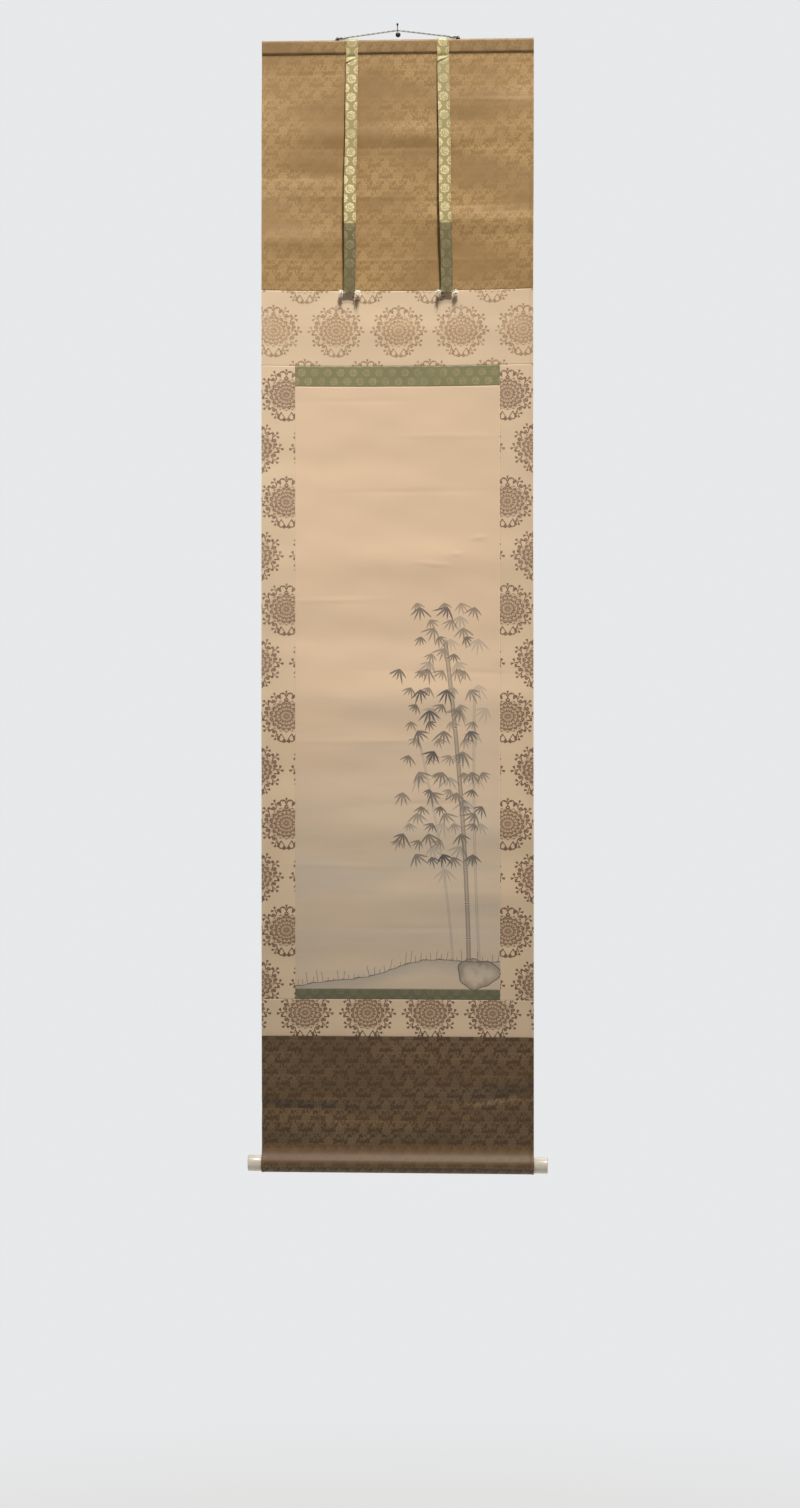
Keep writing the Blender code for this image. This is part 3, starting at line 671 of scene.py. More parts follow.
def turned(name, outline, sides):
    """A solid turned about the X axis from (along, radius) points that start and end on the axis."""
    shape = bmesh.new()
    corners = [shape.verts.new((along, 0, radius)) for along, radius in outline]
    edges = [shape.edges.new(pair) for pair in zip(corners, corners[1:])]
    axis = {"cent": (0, 0, 0), "axis": (1, 0, 0), "angle": math.tau}
    bmesh.ops.spin(shape, geom=corners + edges, steps=sides, use_merge=True, **axis)
    bmesh.ops.remove_doubles(shape, verts=shape.verts, dist=1e-7)
    bmesh.ops.recalc_face_normals(shape, faces=shape.faces)
    mesh = bpy.data.meshes.new(name)
    shape.to_mesh(mesh)
    shape.free()
    return link_mesh(name, mesh, 35)


def torus_parts(radius, wire, sides, wire_sides):
    """Points and faces of a wire ring in the X-Z plane."""
    vertices, faces = [], []
    for step in range(sides):
        way = math.tau * step / sides
        for turn in range(wire_sides):
            out = math.tau * turn / wire_sides
            reach = radius + wire * math.cos(out)
            vertices.append((reach * math.cos(way), wire * math.sin(out), reach * math.sin(way)))
            here = step * wire_sides
            after = (step + 1) % sides * wire_sides
            next_turn = (turn + 1) % wire_sides
            faces.append((here + turn, after + turn, after + next_turn, here + next_turn))
    return vertices, faces


def operation(name):
    """A method of Field that makes one math node."""
    return lambda self, *values: self.math(name, *values)


class Field:
    """A number that varies over a surface, held by a shader socket, that sums can be made with."""

    def __init__(self, tree, socket):
        self.tree = tree
        self.socket = socket

    def math(self, kind, *values):
        """The result of one math node."""
        node = self.tree.nodes.new("ShaderNodeMath")
        node.operation = kind
        for entry, value in zip(node.inputs, (self, *values)):
            feed(self.tree, entry, value)
        return Field(self.tree, node.outputs[0])

    __add__ = operation("ADD")
    __radd__ = __add__
    __sub__ = operation("SUBTRACT")
    __mul__ = operation("MULTIPLY")
    __rmul__ = __mul__
    __truediv__ = operation("DIVIDE")
    sine = operation("SINE")
    cosine = operation("COSINE")
    size = operation("ABSOLUTE")
    whole = operation("ROUND")
    floor = operation("FLOOR")
    lower = operation("MINIMUM")
    higher = operation("MAXIMUM")
    remainder = operation("FLOORED_MODULO")
    power = operation("POWER")
    turn_to = operation("ARCTAN2")

    def __neg__(self):
        return self * -1.0

    def __rsub__(self, other):
        return -self + other

    def step(self, low, high):
        """0 below low and 1 above high, with a soft step between."""
        node = self.tree.nodes.new("ShaderNodeMapRange")
        node.interpolation_type = "SMOOTHSTEP"
        for name, value in (("Value", self), ("From Min", low), ("From Max", high)):
            feed(self.tree, node.inputs[name], value)
        return Field(self.tree, node.outputs["Result"])

    def within(self, limit, soft):
        """1 where the number is under a limit, with a soft edge."""
        return 1.0 - self.step(limit - soft / 2, limit + soft / 2)


def feed(tree, entry, value):
    """Links a field or a socket to an entry of a shader node, or sets a plain value there."""
    if isinstance(value, Field):
        value = value.socket
    if isinstance(value, bpy.types.NodeSocket):
        tree.links.new(value, entry)
    elif entry.type == "RGBA":
        entry.default_value = (*value, 1.0)
    else:
        entry.default_value = value


def length_of(x, y):
    """The distance of a place from the middle of its motif."""
    return (x * x + y * y).math("SQRT")


def dot(x, y, radius, soft):
    """A round spot with a soft edge."""
    return length_of(x, y).within(radius, soft)


def ring(x, y, radius, half_width, soft):
    """A round line with soft edges."""
    return (length_of(x, y) - radius).size().within(half_width, soft)


def any_of(figure, *others):
    """The strongest of several figures."""
    for other in others:
        figure = figure.higher(other)
    return figure


class Finish:
    """A procedural material while it is made: its shader, and the places on the surface."""

    def __init__(self, name, roughness, metallic=0.0, **sockets):
        self.material = bpy.data.materials.new(name)
        self.material.use_nodes = True
        self.tree = self.material.node_tree
        self.shader = self.tree.nodes["Principled BSDF"]
        self.set("Roughness", roughness)
        self.set("Metallic", metallic)
        for socket, value in sockets.items():
            self.set(socket.replace("_", " "), value)

    def set(self, socket, value):
        """Feeds one socket of the shader."""
        feed(self.tree, self.shader.inputs[socket], value)

    def paint(self, colour):
        """Feeds the shader's colour."""
        self.set("Base Color", colour)

    def node(self, kind, entries=(), **settings):
        """A new node with its settings, and its entries as pairs of a name or number and a value."""
        node = self.tree.nodes.new(f"ShaderNode{kind}")
        for setting, value in settings.items():
            setattr(node, setting, value)
        for entry, value in entries:
            feed(self.tree, node.inputs[entry], value)
        return node

    def split(self, place):
        """The three fields of a vector."""
        parts = self.node("SeparateXYZ", [(0, place)])
        return [Field(self.tree, part) for part in parts.outputs]

    def cloth_place(self):
        """The vector that each cloth stores, and its three fields: across, along and mark."""
        place = self.node("Attribute", attribute_name="cloth").outputs["Vector"]
        return place, *self.split(place)

    def object_place(self):
        """The vector of the places in the object's own axes."""
        return self.node("TexCoord").outputs["Object"]

    def noise(self, place, scale, detail=3.0, roughness=0.55, stretch=(1, 1, 1)):
        """Cloudy noise from 0 to 1 with features about 1/scale metres across."""
        mapped = self.node("Mapping", [("Vector", place), ("Scale", stretch)]).outputs[0]
        entries = [("Vector", mapped), ("Scale", scale), ("Detail", detail), ("Roughness", roughness)]
        return Field(self.tree, self.node("TexNoise", entries).outputs["Fac"])

    def chance(self, x, y, seed):
        """A random number from 0 to 1 that belongs to each whole pair of numbers."""
        place = self.node("CombineXYZ", [(0, x), (1, y), (2, seed)]).outputs[0]
        random_node = self.node("TexWhiteNoise", [("Vector", place)], noise_dimensions="3D")
        return Field(self.tree, random_node.outputs["Value"])

    def mix(self, share, low, high, blend="MIX"):
        """A colour between two others, which are sockets or plain colours."""
        entries = [("Factor", share), (6, low), (7, high)]
        return self.node("Mix", entries, data_type="RGBA", blend_type=blend).outputs[2]

    def shade(self, colour, factor):
        """A colour made lighter or darker by a field."""
        grey = self.node("CombineColor", [(0, factor), (1, factor), (2, factor)]).outputs[0]
        return self.mix(1.0, colour, grey, "MULTIPLY")

    def bump(self, height, depth, strength=1.0):
        """Fine relief, as high as depth metres where the field is 1."""
        entries = [("Strength", strength), ("Distance", depth), ("Height", height)]
        self.set("Normal", self.node("Bump", entries).outputs[0])


def weave(across, along, pitch):
    """Threads over and under each other, from 0 to 1."""
    over = (across * (math.pi / pitch)).sine() * (along * (math.pi / pitch)).sine()
    return over * 0.5 + 0.5


def lattice(across, along, repeat, start):
    """Places within the cells of a half-drop repeat: x and y from the middle of the nearest motif."""
    pitch, row = repeat
    row_number = ((along - start[1]) / row).whole()
    x = across - start[0] - row_number * (pitch / 2)
    y = along - start[1] - row_number * row
    return x - (x / pitch).whole() * pitch, y


def medallion(x, y, grain):
    """The woven figure of the damask: a many-petalled flower in an open ring of sprays, with a crown and a
    foot. Gives its fine strokes and its filled ground, both from 0 to 1. Sizes are metres from its middle,
    and grain is an unevenness of the threads."""
    half = x.size()
    turn = half.turn_to(y)
    flower = length_of(x / FLOWER_RADII[0], y / FLOWER_RADII[1]) + (grain - 0.5) * 0.08
    level = flower * PETAL_RINGS
    row = level.floor()
    share = level - row
    petal = (turn * PETALS + row * (math.pi / 2) + (grain - 0.5) * 1.6).cosine().size()
    scales = (share - (0.20 + 0.60 * petal)).size().within(0.20, 0.14)
    seeds = petal.step(0.72, 0.90) * (share - 0.34).size().within(0.15, 0.10)
    scales = scales.higher(seeds) * (flower - (turn * (2 * PETALS)).cosine() * 0.05).within(0.97, 0.05)
    ground = flower.within(0.98, 0.20)

    # One spray in each sector but the lowest and the highest: u runs along the ring and w outwards
    reach = length_of(x, y * 1.10)
    sector = (turn * (SPRAYS / math.tau)).whole()
    lean = ((sector - 2.5) * 10.0).lower(1.0).higher(-1.0)
    u = (turn - sector * (math.tau / SPRAYS)) * reach * lean + (sector * 2.4).sine() * 0.0010
    w = reach - SPRAY_REACH + (sector * 1.7).cosine() * 0.0007
    head = length_of(u - 0.0008, w)
    head_turn = (u - 0.0008).turn_to(w) - 0.25
    fingers = ((head_turn * 4.6).cosine() - 0.02).step(0.0, 0.34) * head.within(0.0079, 0.0007)
    fingers = fingers * (1.0 - head.within(0.0022, 0.0005)) * head_turn.size().within(2.1, 0.2)
    bead = head.within(0.0013, 0.0005)
    stem = ring(u + 0.0050, w + 0.0030, 0.0054, 0.0009, 0.0005)
    stem = stem * (u + 0.0050).step(0.0, 0.0008) * (-0.0012 - w).step(0.0, 0.0006)
    curl = ring(u + 0.0062, w + 0.0052, 0.0023, 0.0010, 0.0005)
    twig = ring(u - 0.0050, w + 0.0046, 0.0030, 0.0009, 0.0005) * (w + 0.0046).step(0.0, 0.0006)
    leaf = dot((u - 0.0074) / 0.0014, (w + 0.0054) / 0.0024, 1.0, 0.3)
    bud = dot(u + 0.0062, w + 0.0052, 0.0011, 0.0004)
    sprays = any_of(fingers, bead, stem, curl, twig, leaf, bud)
    between = (sector - 3.0).size().within(2.5, 0.2)

    arch = ring(half - 0.0060, y - 0.0335, 0.0048, 0.0011, 0.0006) * (y - 0.0325).step(0, 0.0006)
    knob = dot(half - 0.0112, y - 0.0318, 0.0026, 0.0007)
    top = y - 0.0355
    leaf = ((half.turn_to(top) * 4.0).cosine() - 0.1).step(0.0, 0.35) * dot(half, top, 0.0068, 0.0008)
    leaf = leaf * top.step(0, 0.0008)
    stalk = half.within(0.0010, 0.0005) * (y - 0.0285).step(0, 0.0006) * (0.0350 - y).step(0, 0.0006)
    loop = ring(half, y - 0.0268, 0.0026, 0.0010, 0.0005)

    legs = (half * 1.25 + (y + 0.0425) * -0.80).size().within(0.0011, 0.0006)
    legs = legs * (y + 0.0430).step(0, 0.0006) * (-0.0290 - y).step(0, 0.0006)
    foot = ring(half - 0.0085, y + 0.0375, 0.0042, 0.0011, 0.0006) * (y + 0.0375).within(0.0, 0.0008)
    tip = dot(half - 0.0135, y + 0.0375, 0.0025, 0.0007)
    base = dot(half - 0.0040, y + 0.0415, 0.0028, 0.0008)
    ends = (arch, knob, leaf, stalk, loop, legs, foot, tip, base)
    return any_of(scales * 0.95, sprays * between, *ends), ground


def damask(name, start, kept, fill, brown):
    """Pale silk with medallions woven in brown thread over a thin fill, on a half-drop repeat. kept is how
    much of the brown thread is left where the silk is worn most. Low on the mount the figure and its fill
    are drawn stronger, as painted shade, and higher up paler, as painted sheen."""
    finish = Finish(name, 0.55, Sheen_Weight=0.25, Sheen_Roughness=0.4)
    place, across, along, mark = finish.cloth_place()
    x, y = lattice(across, along, DAMASK_REPEAT, start)
    strokes, ground = medallion(x, y, finish.noise(place, 330.0, 2.0))
    wear = finish.noise(place, 34.0, 4.0)
    breaks = finish.noise(place, 520.0, 2.0, stretch=(0.6, 1.6, 1)).step(0.36, 0.54)
    # Painted shade low on the mount: a stronger figure and fill, against the paler, sheen-lit figure higher
    # up
    shaded_low = 1.0 - along.step(*FIGURE_SHADE_Z)
    strokes = strokes * (wear * 1.9 + shaded_low * 0.6 + kept).lower(1.0)
    strokes = strokes * (breaks * 0.5 + shaded_low * 0.3 + 0.5).lower(1.0)
    base = finish.mix(ground * (shaded_low * 0.06 + 0.42), (0.607, 0.465, 0.318), fill)
    base = finish.mix(strokes * 0.97, base, brown)
    clouds = finish.noise(place, 9.0, 3.0, stretch=(1, 1.6, 1))
    ribs = weave(across, along, SILK_WEAVE)
    light = (clouds * 0.16 + 0.92) * (ribs * 0.04 + 0.98) * (1.0 - mark * 0.5)
    finish.paint(finish.shade(base, light))
    finish.set("Roughness", strokes * 0.12 + 0.52)
    finish.bump(ribs * 0.3 + strokes * 0.8, 0.00010, 0.4)
    return finish.material


def brown_silk(name, ground, lighter, plain_share):
    """Brown silk with a vine and rosette figure in a lighter thread, worn away in patches. A mark paints
    shade on it, a negative one paints a highlight, and both hide the figure."""
    tint = (1.0, 0.84, 0.62)
    finish = Finish(name, 0.5, Sheen_Weight=0.22, Sheen_Roughness=0.35, Sheen_Tint=tint)
    place, across, along, mark = finish.cloth_place()
    pitch, row = SILK_REPEAT
    drift = finish.noise(place, 26.0, 2.0) - 0.5
    x, y = lattice(across + drift * 0.010, along - drift * 0.008, SILK_REPEAT, (0.0, SEAM_1_Z))
    lobes = (x.turn_to(y) * 8.0).cosine()
    reach = length_of(x, y)
    rosette = reach.within(0.0066, 0.0022) * (lobes * 0.18 + 0.62)
    rim = (reach - (0.0058 + 0.0008 * lobes)).size().within(0.0010, 0.0008)
    heart = reach.within(0.0018, 0.0010)
    bud_place = (across - drift * 0.008, along + drift * 0.006)
    bud = dot(*lattice(*bud_place, (pitch / 2, row), (0.0090, SEAM_1_Z + 0.0088)), 0.0034, 0.0018) * 0.8
    wave = (across * (math.tau / row) + drift * 4.0).sine() * 0.0044
    row_y = (along - SEAM_1_Z + drift * 0.008).remainder(row) - row / 2
    vine = (row_y + wave).size().within(0.0010, 0.0009)
    other_vine = (row_y - wave * 0.8 + 0.0034).size().within(0.0008, 0.0008) * 0.7
    leaf_place = (across + wave * 0.9, along + drift * 0.006)
    leaf_x, leaf_y = lattice(*leaf_place, (pitch / 4, row / 2), (0.0030, SEAM_1_Z + 0.0040))
    leaf = dot(leaf_x / 0.0024, leaf_y / 0.0030, 1.0, 0.4) * 0.75
    flecks = finish.noise(place, 150.0, 3.0, stretch=(1, 1.3, 1)).step(0.50, 0.62) * 0.28
    speckle = finish.noise(place, 420.0, 2.0).step(0.30, 0.60) * 0.5 + 0.5
    worn = finish.noise(place, 9.0, 4.0, stretch=(0.6, 1.5, 1)).step(0.36, 0.62)
    figure = any_of(rosette, rim, heart, bud, vine, other_vine, leaf, flecks) * speckle
    figure = figure * (worn * (1.0 - plain_share) + plain_share) * (1.0 - mark.size() * 0.9).higher(0.0)
    clouds = finish.noise(place, 7.0, 4.0, stretch=(1, 2.2, 1))
    streaks = finish.noise(place, 60.0, 2.0, stretch=(0.15, 1, 1))
    ribs = weave(across, along, SILK_WEAVE)
    # A mark paints shade here, and a negative one paints a highlight
    light = (clouds * 0.30 + 0.85) * (streaks * 0.16 + 0.92) * (ribs * 0.08 + 0.96) * (1.0 - mark * 0.8)
    finish.paint(finish.shade(finish.mix(figure, ground, lighter), light))
    finish.set("Roughness", 0.56 - figure * 0.12)
    finish.bump(ribs * 0.6 + figure * 0.6, 0.00012, 0.5)
    return finish.material


def brocade(name, ground, gold, repeat, start, radius, gold_share):
    """Green silk with round gold flowers woven in, on a half-drop repeat. A mark paints shade on it and
    fades its figure.
    """
    finish = Finish(name, 0.5, Sheen_Weight=0.2, Sheen_Roughness=0.4)
    place, across, along, mark = finish.cloth_place()
    x, y = lattice(across, along, repeat, start)
    x, y = x / radius, y / radius
    reach = length_of(x, y)
    lobes = (x.turn_to(y) * 8.0).cosine()
    outline = (reach - (0.80 + 0.07 * lobes)).size().within(0.15, 0.08)
    inner = ring(x - 0.10, y - 0.06, 0.38, 0.11, 0.06)
    heart = dot(x - 0.16, y - 0.10, 0.15, 0.08)
    rays = (lobes - 0.4).step(0.0, 0.4) * (reach - 0.60).size().within(0.12, 0.06)
    wear = finish.noise(place, 260.0, 2.0).step(0.30, 0.62) * 0.75 + 0.25
    faded = finish.noise(place, 17.0, 3.0).step(0.34, 0.60) * 0.65 + 0.35
    figure = any_of(outline, inner, heart, rays * 0.7) * wear * faded * gold_share * (1.0 - mark * 0.9)
    clouds = finish.noise(place, 22.0, 3.0)
    ribs = weave(across, along, BROCADE_WEAVE)
    # The mark paints shade
    light = (clouds * 0.26 + 0.86) * (ribs * 0.10 + 0.95) * (1.0 - mark)
    finish.paint(finish.shade(finish.mix(figure, ground, gold), light))
    finish.set("Roughness", 0.60 - figure * 0.22)
    finish.bump(ribs * 0.5 + figure, 0.00015, 0.6)
    return finish.material


def bamboo_stalk(across, along, foot, top, bow, half_width, joint_start):
    """The ink of one stalk between two points: darker at its edges, broken at its joints."""
    rise = (along - foot[1]) / (top[1] - foot[1])
    centre = rise * (top[0] - foot[0]) + rise * (1.0 - rise) * bow + foot[0]
    off = (across - centre).size() / half_width
    joint = ((along - joint_start).remainder(STALK_SEGMENT) / STALK_SEGMENT - 0.5).size()
    gap = joint.step(0.455, 0.485)
    swell = off - gap * 0.22
    body = swell.within(1.0, 0.25) * (swell * swell * 0.55 + 0.35) * (1.0 - gap * 0.75)
    node_line = joint.step(0.485, 0.495) * off.within(1.15, 0.2) * 0.95
    return body.higher(node_line) * rise.step(0.0, 0.02) * (1.0 - rise.step(0.98, 1.0))


def leaf_fans(finish, across, along, cell, start, seed, share_at, length, half_width):
    """Fans of hanging pointed leaves, one in some of the cells of a half-drop grid. share_at gives the
    share of cells with a fan at a cell's middle."""
    row = ((along - start[1]) / cell[1]).whole()
    shifted = across - start[0] - row * (cell[0] / 2)
    column = (shifted / cell[0]).whole()
    x = shifted - column * cell[0] - (finish.chance(column, row, seed + 1) - 0.5) * (cell[0] * 0.3)
    y = along - start[1] - row * cell[1]
    below = cell[1] * 0.45 - y
    middle = (column * cell[0] + row * (cell[0] / 2) + start[0], row * cell[1] + start[1])
    present = (share_at(*middle) - finish.chance(column, row, seed)).step(0.0, 0.01)
    turn = x.turn_to(below) - (finish.chance(column, row, seed + 2) - 0.5) * 1.1
    reach = length_of(x, below)
    number = (turn / LEAF_SPREAD).whole()
    off = (turn - number * LEAF_SPREAD).size() * reach
    share = reach / (length * (0.62 + 0.38 * finish.chance(column * 5.0 + number, row, seed + 3)))
    shape = (share * math.pi).sine().higher(0.0).power(0.75) * (1.15 - share * 0.5) * half_width
    leaf = (off - shape).within(0.0, 0.0005) * share.within(1.0, 0.02) * number.size().within(2.4, 0.1)
    return leaf * present * (finish.chance(column, row, seed + 4) * 0.45 + 0.55)


def beside_stalks(x, y):
    """The share of cells with leaves: most in a cloud round the stalks."""
    over = (y - LEAVES_LOW).step(0.0, 0.06) * (1.0 - (y - LEAVES_TOP).step(-0.10, 0.0))
    spread = 0.045 + (LEAVES_TOP - y) * 0.06
    return (1.0 - ((x - LEAVES_X) / spread).size().step(0.55, 1.40)) * over


def farther(x, y):
    """The share of cells with pale leaves, a little lower and to the right."""
    return beside_stalks(x - 0.020, y + 0.030) * 0.75


def painted_silk(name):
    """Aged plain silk with bands of blue grey mist, and bamboo, a stone and grass in ink on a low bank."""
    finish = Finish(name, 0.7, Sheen_Weight=0.1)
    place, across, along, _ = finish.cloth_place()
    here = (across, along)
    clouds = finish.noise(place, 5.0, 5.0, stretch=(0.5, 1.6, 1))
    bands = finish.noise(place, 8.0, 4.0, stretch=(0.30, 2.4, 1))
    soft = finish.noise(place, 60.0, 3.0)
    edge = finish.noise(place, 900.0, 2.0)
    wash = (1.0 - along.step(*WASH_Z)) * bands.step(0.36, 0.62)
    near = (1.0 - along.step(*MIST_Z)) * (1.0 - bands.step(0.40, 0.56))
    base = finish.mix(wash * 0.50, (0.620, 0.460, 0.315), (0.420, 0.365, 0.295))
    base = finish.mix(near * 0.42, base, (0.330, 0.345, 0.320))

    stalk, thin, pale = (bamboo_stalk(*here, *row) for row in STALKS)
    fans = leaf_fans(finish, *here, (0.046, 0.034), (0.010, -1.0), 1.0, beside_stalks, 0.029, 0.0017)
    small_fans = leaf_fans(finish, *here, (0.036, 0.028), (0.0, -1.012), 11.0, beside_stalks, 0.022, 0.0014)
    pale_fans = leaf_fans(finish, *here, (0.050, 0.038), (0.030, -1.020), 21.0, farther, 0.030, 0.0018)

    bank_z = (across * 15.0 + 0.6).sine() * 0.010 + (across * 37.0).sine() * 0.0035 + soft * 0.008 - 1.5560
    over_bank = along - bank_z - across * 0.10
    outline = over_bank.size().within(0.0008, 0.0007) * (soft * 1.6 + 0.1).lower(1.0)
    bank_wash = over_bank.step(-0.026, 0.0) * (1.0 - over_bank.step(-0.0002, 0.0002))
    stone_x, stone_y = across - STONE[0], along - STONE[1]
    stone_turn = stone_x.turn_to(stone_y)
    stone = length_of(stone_x / STONE_RADII[0], stone_y / STONE_RADII[1])
    stone = stone + (stone_turn * 3.0 + 0.6).sine() * 0.10 + (stone_turn * 7.0).sine() * 0.04
    stone_line = (stone - 1.0).size().within(0.035, 0.03)
    stone_shade = stone.within(1.0, 0.03) * (stone.step(0.45, 1.0) * 0.35 + soft.step(0.45, 0.65) * 0.20)
    clump = (across / GRASS_PITCH).floor()
    grass_x = across.remainder(GRASS_PITCH) - GRASS_PITCH / 2
    grass_lean = (finish.chance(clump, 0.0, 41.0) - 0.5) * 0.9
    grass_top = finish.chance(clump, 0.0, 42.0) * 0.017 + 0.004
    blade = (grass_x - grass_lean * over_bank * 0.55).size().within(0.00045, 0.0004)
    grass = blade * over_bank.step(-0.0005, 0.0005) * (1.0 - (over_bank - grass_top).step(-0.001, 0.0)) * 0.8

    ink = any_of(stalk, fans, small_fans * 0.9, grass, outline * 0.9, stone_line * 0.85, stone_shade)
    faint = any_of(pale_fans, thin, pale) * 0.55
    tone = (edge * 0.5 + 0.72).lower(1.0)
    base = finish.mix(bank_wash * 0.45, base, (0.230, 0.235, 0.220))
    base = finish.mix(faint * tone, base, (0.150, 0.165, 0.160))
    base = finish.mix(ink * tone * 0.95, base, (0.040, 0.042, 0.045))
    ribs = weave(across, along, PAINTED_WEAVE)
    finish.paint(finish.shade(base, (clouds * 0.12 + 0.94) * (ribs * 0.05 + 0.975)))
    finish.bump(ribs, 0.00006, 0.25)
    return finish.material


def backing(name):
    """Thin fibrous paper pasted behind the silk."""
    finish = Finish(name, 0.85)
    place = finish.object_place()
    fibres = finish.noise(place, 420.0, 5.0, 0.7, (1, 1, 0.35))
    clouds = finish.noise(place, 14.0, 4.0)
    base = finish.mix(clouds, (0.60, 0.53, 0.42), (0.70, 0.64, 0.54))
    finish.paint(finish.shade(base, fibres * 0.3 + 0.85))
    finish.bump(fibres, 0.0001, 0.5)
    return finish.material


def thread(name, colour, other):
    """Silk thread with fine twisted fibres."""
    finish = Finish(name, 0.6, Sheen_Weight=0.4, Sheen_Roughness=0.3)
    fibres = finish.noise(finish.object_place(), 2600.0, 3.0, 0.6)
    finish.paint(finish.mix(fibres.step(0.35, 0.65), colour, other))
    finish.bump(fibres, 0.00008, 0.6)
    return finish.material


def metal(name, colour, worn, roughness):
    """Metal with fine scratches, lighter where it is rubbed."""
    finish = Finish(name, roughness, 1.0)
    spots = finish.noise(finish.object_place(), 900.0, 4.0, 0.65)
    finish.paint(finish.mix(spots.step(0.45, 0.75), colour, worn))
    finish.set("Roughness", spots * 0.25 + (roughness - 0.12))
    finish.bump(spots, 0.00003, 0.5)
    return finish.material


def ivory(name):
    """Ivory white with a satin polish and a faint grain along the knob."""
    finish = Finish(name, 0.32, Coat_Weight=0.15, Coat_Roughness=0.2, Subsurface_Weight=0.05)
    place = finish.object_place()
    grain = finish.noise(place, 420.0, 4.0, 0.6, (0.15, 1, 1))
    clouds = finish.noise(place, 60.0, 2.0)
    base = finish.mix(grain.step(0.35, 0.7), (0.70, 0.63, 0.53), (0.80, 0.75, 0.66))
    finish.paint(finish.shade(base, clouds * 0.08 + 0.96))
    finish.set("Roughness", grain * 0.12 + 0.28)
    return finish.material


def wood(name):
    """Planed pale wood with its grain along the rods."""
    finish = Finish(name, 0.6)
    place = finish.object_place()
    grain = finish.noise(place, 900.0, 4.0, 0.6, (0.04, 1, 1))
    rings = finish.noise(place, 160.0, 2.0, 0.5, (0.08, 1, 1))
    base = finish.mix(rings.step(0.35, 0.65), (0.46, 0.30, 0.16), (0.33, 0.20, 0.10))
    finish.paint(finish.shade(base, grain * 0.4 + 0.8))
    finish.bump(grain, 0.0001, 0.5)
    return finish.material


def make_finishes():
    """All the materials, by the piece or the substance that they belong to."""
    made = {
        # Two copies of one silk: the upper panel's lighter colours are partly fading and partly painted
        # sheen, and the lower panel's dark ones are painted shade
        "upper_panel": brown_silk("faded_and_sheen_lit_brown_silk", (0.262, 0.154, 0.054), (0.410, 0.268, 0.114), 0.14),
        "lower_panel": brown_silk("shaded_brown_silk", (0.080, 0.043, 0.017), (0.212, 0.138, 0.070), 0.50),
    }
    # The top band's paler fill and brown are partly wear and partly painted sheen from the light above
    faded = ((0.520, 0.360, 0.210), (0.270, 0.165, 0.085))
    deep = ((0.370, 0.245, 0.155), (0.135, 0.070, 0.040))
    damasks = (
        # piece, material, middle of a medallion, least share of the figure, fill and brown
        ("damask_band_top", "pale_damask_top", (0.0017, -0.4944), 0.05, faded),
        ("damask_side_left", "pale_damask_left", (-0.1838, -0.6002), 0.40, deep),
        ("damask_side_right", "pale_damask_right", (0.1823, -0.6002), 0.40, deep),
        ("damask_band_bottom", "pale_damask_bottom", (-0.0496, -1.6217), 0.75, deep),
    )
    for piece, name, start, kept, colours in damasks:
        made[piece] = damask(name, start, kept, *colours)
    # The lower strip is a shaded copy of the upper one: its darker ground and gold are painted shade
    lit = ((0.190, 0.178, 0.084), (0.420, 0.330, 0.175))
    dim = ((0.118, 0.116, 0.064), (0.260, 0.220, 0.130))
    strip = (ACCENT_REPEAT, (-0.0516, -0.5632), 0.0066)
    yellowish = ((0.295, 0.250, 0.102), (0.820, 0.670, 0.400), STREAMER_REPEAT)
    brocades = (
        # piece, material, ground, gold, repeat, middle of a flower, its radius, share of gold
        ("accent_strip_upper", "dark_green_brocade", *lit, *strip, 0.62),
        ("accent_strip_lower", "shaded_green_brocade", *dim, *strip, 0.35),
        ("streamer_left", "streamer_brocade_left", *yellowish, (-STREAMER_X, 0.323), 0.0078, 1.0),
        ("streamer_right", "streamer_brocade_right", *yellowish, (STREAMER_X, 0.323), 0.0078, 0.8),
    )
    for piece, *looks in brocades:
        made[piece] = brocade(*looks)
    return made | {
        "streamer_back": backing("streamer_lining"),
        "painting": painted_silk("painted_silk_ground"),
        "backing": backing("paper_backing"),
        "thread": thread("white_silk_thread", (0.88, 0.85, 0.75), (0.72, 0.68, 0.57)),
        "ivory": ivory("ivory_knob"),
        "wood": wood("rod_cedar"),
        "dark_metal": metal("dark_iron", (0.045, 0.042, 0.040), (0.16, 0.15, 0.14), 0.42),
        "steel": metal("bright_steel", (0.42, 0.42, 0.42), (0.62, 0.62, 0.61), 0.28),
    }


def settle(piece, slot, nodes, *materials):
    """Gives a piece its materials, lets it ride on the body and hides the solids it stands for."""
    for material in materials:
        piece.data.materials.append(material)
    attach(piece, "root")
    if nodes:
        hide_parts(*nodes)
    return piece


def make_camera():
    """The camera, level and turned a little to the viewer's right."""
    data = bpy.data.cameras.new("camera")
    data.lens = CAMERA_LENS
    data.sensor_width = CAMERA_SENSOR
    data.shift_y = CAMERA_SHIFT
    data.clip_start = 0.1
    camera = bpy.data.objects.new("camera", data)
    way = Vector((math.sin(CAMERA_TURN), -math.cos(CAMERA_TURN), 0))
    camera.location = CAMERA_AIM + way * CAMERA_DISTANCE
    camera.rotation_euler = way.to_track_quat("Z", "Y").to_euler()
    bpy.context.scene.collection.objects.link(camera)
    bpy.context.scene.camera = camera


def cord_height(x):
    """Centreline of the taut cord: straight from each ring, and rounded over the hook's wire."""
    reach = abs(x)
    if reach > CORD_PEAK_HALF:
        return CORD_PEAK_Z - CORD_SLOPE * (reach - CORD_PEAK_HALF / 2)
    return CORD_PEAK_Z - CORD_SLOPE * reach**2 / (2 * CORD_PEAK_HALF)


